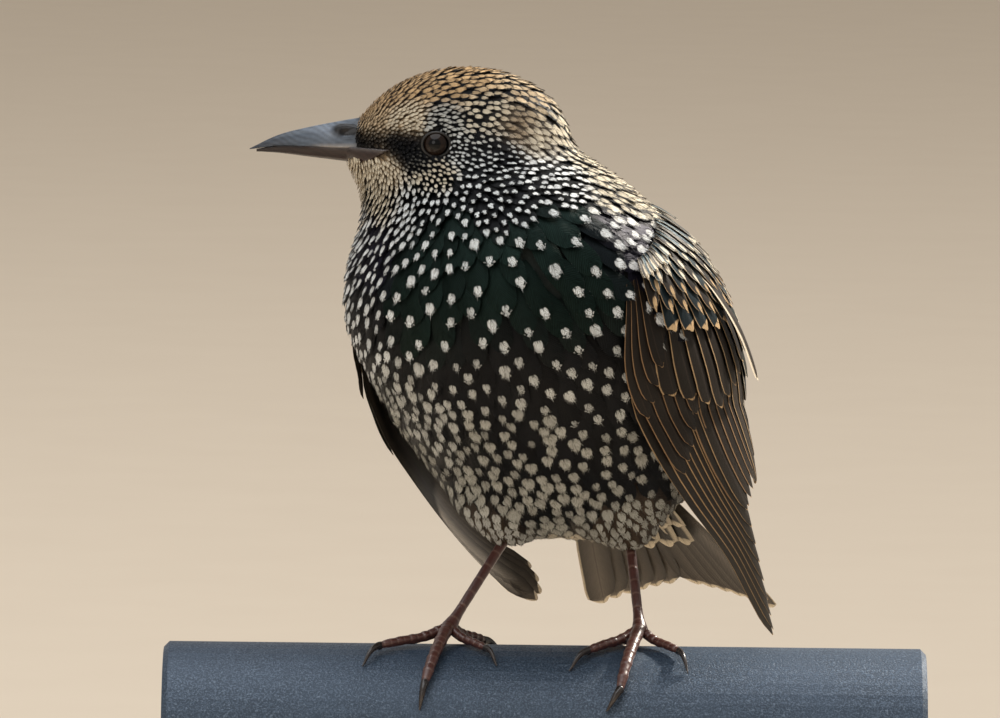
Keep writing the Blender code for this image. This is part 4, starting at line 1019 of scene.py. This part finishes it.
def grid_piece(name, points, material, paint):
    """A closed tube of rings of points with its ends capped, painted point by point."""
    rings, sides = points.shape[:2]
    index = np.arange(rings * sides).reshape(rings, sides)
    nxt = np.roll(index, -1, axis=1)
    quads = grid_quads(np.hstack([index, index[:, :1]]))
    ends = np.concatenate([points[0].mean(axis=0, keepdims=True), points[-1].mean(axis=0, keepdims=True)])
    first, last = rings * sides, rings * sides + 1
    tris = np.concatenate([
        np.stack([np.full(sides, first), nxt[0], index[0]], -1),
        np.stack([np.full(sides, last), index[-1], nxt[-1]], -1),
    ])
    flat = np.concatenate([points.reshape(-1, 3), ends])
    colour = np.concatenate([paint.reshape(-1, 3), paint[0].mean(0, keepdims=True), paint[-1].mean(0, keepdims=True)])
    u, v = np.meshgrid(np.linspace(0, 1, rings), np.linspace(0, 1, sides), indexing="ij")
    uv = np.concatenate([np.stack([u, v], -1).reshape(-1, 2), [(0, 0.5), (1, 0.5)]])
    return mesh_object(name, flat, quads, tris, material, {"paint": colour}, uv)


BILL_TIP_X = -61.9
BILL_ROOT_X = -31.0
BILL_Y = -8.0
BILL_HALF_WIDTH = 4.9
MANDIBLE_TIP_X = -60.4
RIDGE = [109.7, 112.7, 114.4, 115.7, 116.8, 117.4]
MOUTH = [109.4, 110.4, 110.5, 110.4, 110.4, 110.2]
CHIN_EDGE = [109.1, 108.8, 108.1, 107.4, 106.7, 106.4]
SLATE = np.array([0.062, 0.080, 0.108])
HORN = np.array([0.013, 0.012, 0.016])
OXBLOOD = np.array([0.019, 0.0095, 0.0085])
TOMIUM = np.array([0.26, 0.25, 0.25])


def add_bill(upper):
    """One half of the bill; the upper one has the nostril under its horny lid."""
    rows, sides = 110, 56
    start = BILL_TIP_X if upper else MANDIBLE_TIP_X
    x = start + (BILL_ROOT_X - start) * np.linspace(0, 1, rows) ** 1.15
    place = (x - BILL_TIP_X) / (BILL_ROOT_X - BILL_TIP_X)
    half = 0.2 + (BILL_HALF_WIDTH - 0.2) * place**0.8 * (1 if upper else 0.86)
    ridge, mouth, chin = (
        curve_through(np.array(line, float)[:, None], place)[:, 0] for line in (RIDGE, MOUTH, CHIN_EDGE)
    )
    flat = mouth + (0.13 if upper else -0.13)
    rise = (ridge - flat) if upper else (chin - flat)
    turn = circle(sides)
    open_side = np.sin(turn)
    y = np.cos(turn)[None, :] * half[:, None]
    bow = np.where(open_side > 0, np.abs(open_side) ** 0.86, 0.10 * open_side)
    z = flat[:, None] + rise[:, None] * bow[None, :]
    pinch = np.exp(-(((np.abs(open_side) - 0.5) / 0.3) ** 2)) * 0.05
    y = y * (1 - pinch[None, :] * (open_side > 0))
    near_mouth = np.exp(-((z - mouth[:, None]) / 1.3) ** 2) if upper else 1.0
    flange = step(x, -40.5, -34)[:, None] * near_mouth * (1.0 if upper else 3.1)
    y = y + np.sign(y) * flange * (np.abs(y) > 2)
    points = np.stack([np.broadcast_to(x[:, None], y.shape), y + BILL_Y, z], -1)
    if not upper:                                      # the gape's soft skin lies just over the cheek's
        deep = np.clip(0.35 - surface(points)[0], 0, 4.5)
        narrow = np.clip((x + 38.5) / 7.0, 0, 1) ** 1.4
        edge = (mouth - (mouth - chin) * (1 - narrow))[:, None]
        bare = (step(x, -41, -39.5)[:, None] * step(z, edge - 0.5, edge + 0.3)) * step(np.abs(y), 1.5, 3.5)
        points[..., 1] += np.sign(y) * 1.15 * deep * bare
    out = np.stack([np.zeros_like(y), y / (half[:, None] + 1e-6), np.maximum(z - flat[:, None], 0) / 4], -1)
    out = unit(out + 1e-6)
    up = open_side[None, :] > 0.05
    paint = np.broadcast_to(SLATE if upper else OXBLOOD, points.shape).copy()
    # pale and dark bands along the horn: painted reflection streaks of the bill's gloss, and an uneven tone on both
    # halves
    tone_and_reflection_streak = 0.5 + 0.5 * np.sin(x[:, None] * 2.1 + 5 * z + 2 * np.sin(x[:, None] * 0.7))
    if upper:
        lid = np.exp(-((((x[:, None] + 40.7) / 3.0) ** 2 + ((z - 114.0) / 1.25) ** 2) ** 2)) * up
        hole = np.exp(-((((x[:, None] + 40.6) / 1.8) ** 2 + ((z - 113.45) / 0.36) ** 2) ** 2)) * up
        points += out * (0.85 * lid - 1.3 * hole)[..., None]
        paint *= (0.7 + 0.5 * tone_and_reflection_streak)[..., None]
        dark = step(x, -48, -61)[:, None] * 0.75
        paint = paint * (1 - dark)[..., None] + HORN * dark[..., None]
        # a pale bluish spot ahead of the nostril's lid: a painted glint on the horn
        painted_glint = np.exp(-(((x[:, None] + 44.5) / 3.5) ** 2 + ((z - 113.8) / 1.3) ** 2)) * up
        paint += painted_glint[..., None] * np.array([0.09, 0.10, 0.12])
        # darkened: the lid's own dark horn, painted shade in the nostril slit under it, and the bill darker towards
        # its root
        dark = np.clip(lid * 1.6 + hole * 1.5, 0, 1) + step(x, -40.5, -36)[:, None] * 0.85
        dark = np.clip(dark, 0, 1)[..., None]
        paint = paint * (1 - dark) + HORN * 0.35 * dark
    else:
        paint *= (0.75 + 0.5 * tone_and_reflection_streak)[..., None]
        dark = step(x, -45, -59)[:, None] * 0.6
        paint = paint * (1 - dark)[..., None] + HORN * dark[..., None]
    near = np.exp(-(((z - mouth[:, None]) / 0.55) ** 2)) * step(x, -50, -44)[:, None]
    near = np.clip(near * (1.0 if upper else 0.25), 0, 1)[..., None]
    paint = paint * (1 - near) + TOMIUM * near
    grain = RANDOM.normal(0, 0.012, (rows, sides))[..., None]
    points += out * grain
    name = "bill_upper_horn" if upper else "bill_lower_horn"
    piece = grid_piece(name, points, MATERIALS["bill"], np.clip(paint, 0.004, 1))
    dress([piece], "bill", "bill_upper" if upper else "bill_lower")


PUPIL = np.array([0.0015, 0.0015, 0.0018])
IRIS = np.array([0.013, 0.0065, 0.0035])
LID_OPENING = 2.55
LID_MIDDLE = 2.85
LID_THICK = 0.32


def eye_centre(side):
    """Where an eye's ball is centred: just under the head's surface."""
    low, high = 0.0, 30.0
    for _ in range(40):
        middle = (low + high) / 2
        out = surface(np.array([[EYE_X, HEAD_CENTRE[1] - side * middle, EYE_Z]]))[0][0] > 0
        low, high = (low, middle) if out else (middle, high)
    return np.array([EYE_X, HEAD_CENTRE[1] - side * (high - (EYE_RADIUS - 0.9)), EYE_Z])


def add_eye(side):
    """A glossy ball with a dark brown iris, and the bare ring of its lids."""
    word = "left" if side > 0 else "right"
    centre = eye_centre(side)
    axis = unit(np.array([-0.12, -side * 1.0, 0.05]))
    reference = unit(np.cross(axis, np.array([0, 0, 1.0])))
    other = np.cross(axis, reference)
    rings, sides = 60, 64
    turn = np.linspace(0.0, math.pi, rings + 2)[1:-1]
    spin = circle(sides)
    bulge = EYE_RADIUS * (1 + 0.05 * np.exp(-((turn / 0.5) ** 2)))
    round_axis = np.cos(spin)[:, None] * reference + np.sin(spin)[:, None] * other
    points = centre + (bulge * np.cos(turn))[:, None, None] * axis
    points = points + (bulge * np.sin(turn))[:, None, None] * round_axis
    iris = step(turn, 0.40, 0.44) * step(turn, 0.98, 0.86)
    fibre = 0.8 + 0.3 * np.sin(spin * 31)[None, :] * np.sin(turn * 14)[:, None]
    paint = PUPIL + (iris[:, None] * fibre)[..., None] * IRIS
    ball = grid_piece(f"eye_{word}_ball", points, MATERIALS["eye"], np.clip(paint, 0, 1))
    dress([ball], "eye", "eye_" + word)
    # the lids: a low ring with a fine beaded rim
    axis = np.array([0.0, -side * 1.0, 0.0])
    across, up = np.array([1.0, 0, 0]), np.array([0, 0, 1.0])
    spin = circle(160)
    around = circle(20)
    almond = 1 + 0.07 * np.cos(2 * spin)
    sunk = math.sqrt(EYE_RADIUS**2 - LID_OPENING**2)
    radial = (LID_MIDDLE + LID_THICK * np.cos(around)[None, :]) * almond[:, None]
    beads = 0.045 * np.sin(spin * 34)[:, None] * np.maximum(0, np.cos(around - 2.2))[None, :]
    height = sunk - 0.12 + (0.42 + beads) * np.sin(around)[None, :]
    points = centre + radial[..., None] * (
        np.cos(spin)[:, None, None] * across + np.sin(spin)[:, None, None] * up
    ) + height[..., None] * axis
    index = np.pad(np.arange(len(spin) * len(around)).reshape(len(spin), -1), (0, 1), mode="wrap")
    quads = grid_quads(index)
    flat = points.reshape(-1, 3)
    paint = np.broadcast_to(np.array([0.0065, 0.0055, 0.0050]), flat.shape) * RANDOM.normal(1, 0.1, (len(flat), 1))
    shares = [np.linspace(0, 1, len(angles)) for angles in (spin, around)]
    uv = np.stack(np.meshgrid(*shares, indexing="ij"), -1).reshape(-1, 2)
    ring = mesh_object(f"eyelids_{word}", flat, quads, [], MATERIALS["skin"], {"paint": paint}, uv)
    dress([ring], "plumage", "eye_" + word)


LEGS = {
    1: {"ankle": (22.8, 13.0, 20.5), "joint": (24.9, 1.0, 3.6), "toes": [
        ((9.0, 9.4), (11.0, 15.8), 1.0), ((-4.6, 21.5), (-7.6, 26.0), 1.3),
        ((-12.0, 9.8), (-16.2, 15.4), 1.1), ((-6.0, -11.0), (-9.5, -17.0), 1.25)]},
    -1: {"ankle": (-6.0, 13.5, 20.5), "joint": (-17.2, 1.0, 3.6), "toes": [
        ((8.6, 9.0), (11.2, 14.2), 1.0), ((-5.3, 20.4), (-6.4, 26.2), 1.3),
        ((-15.8, 8.4), (-19.6, 14.6), 1.1), ((8.0, -8.2), (12.6, -13.0), 1.25)]},
}
GAP = 0.3
SHIN = np.array([0.060, 0.020, 0.0155])
SEAM = np.array([0.17, 0.095, 0.075])


def rail_point(x, arc, height):
    """A point over the rail: arc is the distance round it from its crest, forwards when negative."""
    angle = np.asarray(arc, float) / RAIL_RADIUS
    radius = RAIL_RADIUS + np.asarray(height, float)
    up = radius * np.cos(angle) - RAIL_RADIUS
    return np.stack([np.broadcast_to(x, angle.shape), radius * np.sin(angle), up], -1)


def limb(path, radii, up, turn):
    """Rings of points about a path; up is the direction of angle 0 and turn the angles."""
    ahead = np.gradient(path, axis=0)
    ahead = unit(ahead)
    side = unit(np.cross(ahead, up))
    over = np.cross(side, ahead)
    return path[:, None] + radii[..., None] * (
        np.cos(turn)[None, :, None] * over[:, None] + np.sin(turn)[None, :, None] * side[:, None]
    )


def scutes(t, count, turn):
    """The height and the seams of plates that overlap along a toe or a shin, on its upper side."""
    share = (t * count) % 1.0
    on_top = step(np.cos(turn), -0.15, 0.35)[None, :]
    plate = (0.35 + 0.65 * share**0.5) * step(share, 1.0, 0.94)
    seam = 1 - step(share, 0.02, 0.12) * step(share, 1.0, 0.9)
    return plate[:, None] * on_top, seam[:, None] * on_top


def add_toe(name, joint, toe_end, claw_tip, radius):
    rows, sides = 90, 28
    t = np.linspace(0, 1, rows)
    turn = circle(sides)
    start, out = np.array([joint[0], -joint[1]]), np.array(toe_end, float)
    length = np.linalg.norm(out)
    spots = start + out * t[:, None]
    rise = (joint[2] - radius - GAP) * np.maximum(0.0, 1 - t * 2.2) ** 1.6
    path = rail_point(spots[:, 0], -spots[:, 1], GAP + radius * 1.25 + rise)
    up = unit(path - np.stack([path[:, 0], np.zeros(rows), np.full(rows, -RAIL_RADIUS)], -1))
    knuckles = 1 + 0.10 * np.cos(t * 2 * math.pi * 3) ** 4
    body = radius * (1.12 - 0.30 * t) * knuckles * np.sqrt(np.clip(1 - (t - 0.02) ** 14, 0.02, 1))
    plate, seam = scutes(t, max(7, round(length / 1.7)), turn)
    pad = 0.10 * (0.5 + 0.5 * np.cos(t * 2 * math.pi * 4))[:, None] * step(-np.cos(turn), 0.2, 0.8)[None, :]
    radii = body[:, None] * (0.93 + 0.15 * plate + pad)
    radii *= 1 - 0.12 * step(-np.cos(turn), 0.4, 1.0)[None, :]
    paint = SHIN * (0.75 + 0.35 * plate[..., None]) * (1 - seam[..., None]) + SEAM * 0.7 * seam[..., None]
    paint *= RANDOM.normal(1, 0.05, (rows, sides, 1))
    toe = grid_piece(name, limb(path, radii, up, turn), MATERIALS["leg"], np.clip(paint, 0.004, 1))
    bend = np.array(claw_tip, float) - out
    t = np.linspace(0, 1, 40)
    turned = out * (1 - 0.8 / length) + bend * t[:, None] ** 1.15 + out / length * 1.6 * (t * (1 - t))[:, None]
    spots = start + turned
    height = GAP + radius * 1.2 + 0.9 * np.sin(math.pi * np.minimum(1, t * 1.2)) - 1.05 * t * radius
    path = rail_point(spots[:, 0], -spots[:, 1], height)
    up = unit(path - np.stack([path[:, 0], np.zeros(40), np.full(40, -RAIL_RADIUS)], -1))
    turn = circle(16)
    radii = (0.84 * radius * (1 - t) ** 0.72 + 0.08)[:, None] * (1 - 0.18 * np.abs(np.sin(turn)))[None, :]
    paint = np.broadcast_to(np.array([0.022, 0.017, 0.016]), (40, 16, 3)) * (0.8 + 0.5 * t[:, None, None])
    claw = grid_piece(name + "_claw", limb(path, radii, up, turn), MATERIALS["claw"], paint)
    return toe, claw


def add_leg(side):
    word = "left" if side > 0 else "right"
    leg = LEGS[side]
    ankle, joint = np.array(leg["ankle"]), np.array(leg["joint"])
    for number, (toe_end, claw_tip, radius) in enumerate(leg["toes"]):
        dress(add_toe(f"toe_{word}_{number}", joint, toe_end, claw_tip, radius), "leg", "foot_" + word)
    rows, sides = 110, 32
    t = np.linspace(0, 1, rows)
    turn = circle(sides)
    path = joint + (ankle - joint) * (t * 1.3 - 0.07)[:, None] + np.array([0, 0.5, 0]) * np.sin(math.pi * t)[:, None]
    up = np.broadcast_to(np.array([0.0, -1.0, 0.0]), path.shape)
    body = 1.22 + 1.25 * np.clip(1 - t / 0.22, 0, 1) ** 1.6 + 0.55 * np.clip((t - 0.78) / 0.22, 0, 1) ** 1.5
    body *= np.sqrt(np.clip(1 - (2 * np.clip(0.06 - t, 0, 1) / 0.12) ** 2, 0.05, 1))
    plate, seam = scutes(t, 8, turn)
    radii = body[:, None] * (0.95 + 0.09 * plate) * (1 - 0.10 * np.abs(np.sin(turn)))[None, :]
    paint = SHIN * (0.8 + 0.3 * plate[..., None]) * (1 - seam[..., None]) + SEAM * 0.8 * seam[..., None]
    paint *= RANDOM.normal(1, 0.05, (rows, sides, 1))
    shin = grid_piece(f"shin_{word}", limb(path, radii, up, turn), MATERIALS["leg"], np.clip(paint, 0.004, 1))
    dress([shin], "leg", "leg_" + word)


# Finishes of the plain parts

def painted(name, roughness, grain_scale, grain, **more):
    """A finish that follows the colour painted on each point, with a fine uneven grain."""
    n = Nodes(name)
    paint = n.attribute("paint", "Color")
    spots = n.noise(grain_scale, 4.0)
    n.bump(spots, grain, 0.0001)
    rough = n.ramp(n.noise(grain_scale * 0.3, 3.0), 0.3, 0.7, roughness * 0.8, roughness * 1.25)
    return n.set(Base_Color=n.shade(paint, spots, 0.75, 1.25), Roughness=rough, **more)


def rail_material():
    """Blue-grey speckled coating."""
    n = Nodes("rail_coating")
    fine = n.ramp(n.noise(2600.0, 2.0), 0.42, 0.62)
    pale = n.ramp(n.noise(1900.0, 3.0), 0.56, 0.70)
    broad = n.noise(60.0, 4.0)
    colour = n.mix(fine, (0.018, 0.032, 0.055), (0.048, 0.075, 0.115))
    colour = n.mix(n.times(pale, 0.55), colour, (0.15, 0.20, 0.27))
    colour = n.mix(n.ramp(broad, 0.3, 0.7, 0.0, 0.35), colour, (0.035, 0.06, 0.10))
    n.bump(n.plus(fine, pale), 0.35, 0.0001)
    return n.set(Base_Color=colour, Roughness=n.ramp(fine, 0.0, 1.0, 0.5, 0.36), Metallic=0.25)


def rod_material():
    n = Nodes("brushed_rod")
    lines = n.noise(300.0, 3.0, n.stretched((1.0, 1.0, 60.0)))
    n.bump(lines, 0.2, 0.00005)
    colour = n.mix(lines, (0.26, 0.26, 0.27), (0.42, 0.42, 0.43))
    return n.set(Base_Color=colour, Metallic=1.0, Roughness=n.ramp(lines, 0.2, 0.8, 0.24, 0.38))


def base_material():
    """Dark oiled wood with its grain along the base."""
    n = Nodes("dark_wood")
    grain = n.noise(3.0, 8.0, n.stretched((9.0, 90.0, 90.0)), 0.62)
    pore = n.ramp(n.noise(2.0, 2.0, n.stretched((60.0, 900.0, 900.0))), 0.62, 0.72)
    colour = n.mix(n.ramp(grain, 0.32, 0.68), (0.020, 0.011, 0.007), (0.085, 0.045, 0.024))
    colour = n.mix(n.times(pore, 0.6), colour, (0.008, 0.005, 0.004))
    n.bump(n.minus(grain, n.times(pore, 0.6)), 0.25, 0.0002)
    return n.set(Base_Color=colour, Roughness=n.ramp(grain, 0.3, 0.7, 0.36, 0.52))


def skin_material():
    """The dark skin and down under the feathers."""
    n = Nodes("skin_and_down")
    paint = n.attribute("paint", "Color")
    fluff = n.noise(900.0, 5.0)
    colour = n.shade(paint, fluff, 0.6, 1.5)
    n.bump(fluff, 0.6, 0.0004)
    return n.set(Base_Color=colour, Roughness=0.85, Specular_IOR_Level=0.15)


def eye_material():
    n = Nodes("eye_gloss")
    paint = n.attribute("paint", "Color")
    cloud = n.noise(1500.0, 2.0)
    colour = n.shade(paint, cloud, 0.85, 1.15)
    return n.set(Base_Color=colour, Roughness=0.06, Specular_IOR_Level=0.2)


MATERIALS = {
    "body": feather_material("body_feathers", 0.46, 0.15),
    "wing": feather_material("wing_and_tail_feathers", 0.44, 0.13),
    "under": skin_material(),
    "skin": painted("bare_skin", 0.5, 2500.0, 0.4),
    "bill": painted("bill_horn", 0.34, 1200.0, 0.25, Specular_IOR_Level=0.35),
    "leg": painted("leg_scutes", 0.36, 1800.0, 0.3, Coat_Weight=0.25, Coat_Roughness=0.25),
    "claw": painted("claw_horn", 0.28, 1500.0, 0.2),
    "eye": eye_material(),
}


# The coat

def coat_depth(points):
    """How deep the feathers root under the surface: shallow on the face, deeper on the body."""
    face = step(points[..., 2], 96, 108) * (1 - step(points[..., 0], -20, 8) * 0.4)
    return 2.3 - 1.45 * face


def add_skin():
    points, quads = isosurface(-1.2, 1.25)
    for _ in range(4):
        distance, normal = surface(points)
        points = points - normal * (distance + coat_depth(points) + 0.1)[:, None]
    look = plumage(points)
    paint = 0.6 * look[:, 6:9] + 0.012
    uv = unwrap(points)
    skin = mesh_object("skin", points, quads, [], MATERIALS["under"], {"paint": paint}, uv)
    dress([skin], "plumage", "torso", "neck", "head", "thigh_left", "thigh_right")


EYE_RING = 3.3
MOUTH_LINE = 110.2
WING_COVERS = 2.2                                      # how near the wing's sheet a hidden tip lies


def clear_of_face(tips, look):
    """Shortens the feathers behind the eyes and drops those on the eyes and the bill."""
    near = np.abs(tips[:, 1] - HEAD_CENTRE[1]) > 7.5
    dx, dz = tips[:, 0] - EYE_X, tips[:, 2] - EYE_Z
    keep = ~(near & (np.hypot(dx, dz) < EYE_RING) & (tips[:, 2] > 104))
    behind = near & (dx > 0) & (np.abs(dz) < EYE_RING)
    room = dx - np.sqrt(np.clip(EYE_RING**2 - dz**2, 0, None))
    look[:, 1] = np.where(behind, np.clip(look[:, 1], 0, np.maximum(room, 0.7)), look[:, 1])
    keep &= ~((tips[:, 0] < -38.2) & (tips[:, 2] > 106.8))
    keep &= ~((tips[:, 0] < -31.0) & (tips[:, 2] > 106.9 + 0.1 * (tips[:, 0] + 38)) & (tips[:, 2] < MOUTH_LINE + 0.6))
    return keep


def hidden_by_wing(tips):
    """True for tips well under a folded wing, and not on the pads that lie over its front."""
    hidden = np.zeros(len(tips), bool)
    for side in (1, -1):
        along, across = np.meshgrid(np.linspace(0.04, 0.62, 60), np.linspace(0.16, 0.86, 40), indexing="ij")
        sheet = wing_place(side, along, across, np.zeros_like(along)).reshape(-1, 3)
        tree = KDTree(len(sheet))
        for i, p in enumerate(sheet):
            tree.insert(p, i)
        tree.balance()
        hidden |= np.array([tree.find(p)[2] < WING_COVERS for p in tips])
    return hidden & (surface(tips)[0] < 0.5)


# Name: rows, columns, how far the tip lifts, barbs on each feather and their length in millimetres
COAT = {
    "face": (5, 3, 0.12, 4, 0.55),
    "mask": (6, 5, 0.16, 8, 0.65),
    "head": (8, 5, 0.22, 18, 0.8),
    "neck": (8, 7, 0.25, 36, 1.0),
    "breast": (9, 9, 0.22, 90, 1.3),
    "back": (9, 9, 0.3, 50, 1.4),
}


SIZE_LIMITS = (0.55, 0.85, 1.25, 2.0)                  # half widths that part the coat's first five pieces


def add_coat():
    tips = seeds()
    look = plumage(tips)
    keep = clear_of_face(tips, look) & ~hidden_by_wing(tips)
    keep &= ~((tips[:, 2] < 35) & ((tips - body_point(0, 50, 35)) @ body_direction(0, 1, 0) > 0))
    tips, look = tips[keep], look[keep]
    rear = (tips - body_point(0, 0, 0)) @ body_direction(0, 1, 0) > 14
    group = np.digitize(look[:, 2], SIZE_LIMITS)
    group[rear & (group == len(SIZE_LIMITS))] += 1
    for number, (name, (rows, columns, lift, barbs, long)) in enumerate(COAT.items()):
        own = group == number
        top, under, data, place = grow(tips[own], look[own], rows, columns, lift)
        node = "head" if name in ("face", "mask", "head") else "neck" if name == "neck" else "torso"
        vanes = add_vanes("coat_" + name, top, under, data, MATERIALS["body"], place)
        dress([vanes, add_barbs("barbs_" + name, top, data, place, barbs, long)], "plumage", node)


add_skin()
add_coat()
for side in (1, -1):
    add_wing(side)
    add_eye(side)
    add_leg(side)
add_tail()
add_bill(True)
add_bill(False)

STAND = {"stand_rail": rail_material(), "stand_base": base_material()}
STAND["stand_rod_left"] = STAND["stand_rod_right"] = rod_material()
for name, material in STAND.items():
    for entry in bpy.data.objects[name].material_slots:
        entry.material = material


# Stage, light and camera

def add_stage():
    """A wide, plain, pale floor."""
    reach, rings, sides = 9.0, 12, 96
    verts = [(0.0, 0.0, 0.0)]
    for ring in range(1, rings + 1):
        radius = reach * (ring / rings) ** 2
        for k in range(sides):
            a = 2 * math.pi * k / sides
            verts.append((radius * math.cos(a), radius * math.sin(a), 0.0))
    faces = [(0, 1 + k, 1 + (k + 1) % sides) for k in range(sides)]
    for ring in range(rings - 1):
        for k in range(sides):
            a, b = 1 + ring * sides + k, 1 + ring * sides + (k + 1) % sides
            faces.append((a, a + sides, b + sides, b))
    mesh = bpy.data.meshes.new("floor")
    mesh.from_pydata(verts, [], faces)
    n = Nodes("pale_floor")
    paper = n.noise(25.0, 4.0)
    mesh.materials.append(n.set(
        Base_Color=n.mix(paper, (0.68, 0.575, 0.455), (0.71, 0.605, 0.48)), Roughness=0.9, Specular_IOR_Level=0.1,
    ))
    floor = bpy.data.objects.new("floor", mesh)
    bpy.context.scene.collection.objects.link(floor)


def add_light(name, kind, place, aim, power, colour, **settings):
    light = bpy.data.lights.new(name, kind)
    light.energy = power
    light.color = colour
    for key, value in settings.items():
        setattr(light, key, value)
    lamp = bpy.data.objects.new(name, light)
    lamp.location = place
    lamp.rotation_euler = (Vector(aim) - Vector(place)).to_track_quat("-Z", "Y").to_euler()
    bpy.context.scene.collection.objects.link(lamp)


def add_lights():
    middle = (0.0, 0.0, 0.12)
    add_light("sun_side", "SPOT", (1.05, 0.80, 1.25), middle, 310, (1.0, 0.93, 0.82),
              spot_size=math.radians(16), spot_blend=1.0, shadow_soft_size=0.07)
    add_light("sky", "AREA", (-0.3, -0.3, 2.6), (0.0, 0.3, 0.0), 62, (0.94, 0.97, 1.0), shape="DISK", size=3.2)
    add_light("front_fill", "AREA", (-0.9, -1.9, 0.9), middle, 9, (1.0, 0.97, 0.93), shape="DISK", size=1.3)
    world = bpy.data.worlds.new("studio")
    world.use_nodes = True
    world.node_tree.nodes["Background"].inputs[0].default_value = (1.0, 0.95, 0.88, 1.0)
    world.node_tree.nodes["Background"].inputs[1].default_value = 0.46
    bpy.context.scene.world = world


CAMERA_AIM = Vector((-0.0106, -0.013, 0.1313))
CAMERA_DISTANCE = 2.5
CAMERA_RISE = math.radians(5.0)
FRAME_WIDTH = 0.22


def add_camera():
    camera = bpy.data.cameras.new("camera")
    camera.sensor_width = 36.0
    camera.lens = 36.0 * CAMERA_DISTANCE / FRAME_WIDTH
    camera.clip_end = 30.0
    eye = bpy.data.objects.new("camera", camera)
    eye.location = CAMERA_AIM + CAMERA_DISTANCE * Vector((0, -math.cos(CAMERA_RISE), math.sin(CAMERA_RISE)))
    aim = (CAMERA_AIM - eye.location).to_track_quat("-Z", "Y").to_matrix()
    eye.rotation_euler = (aim @ Matrix.Rotation(math.radians(0.63), 3, "Z")).to_euler()
    bpy.context.scene.collection.objects.link(eye)
    bpy.context.scene.camera = eye


add_stage()
add_lights()
add_camera()
bpy.context.scene.view_settings.view_transform = "Standard"
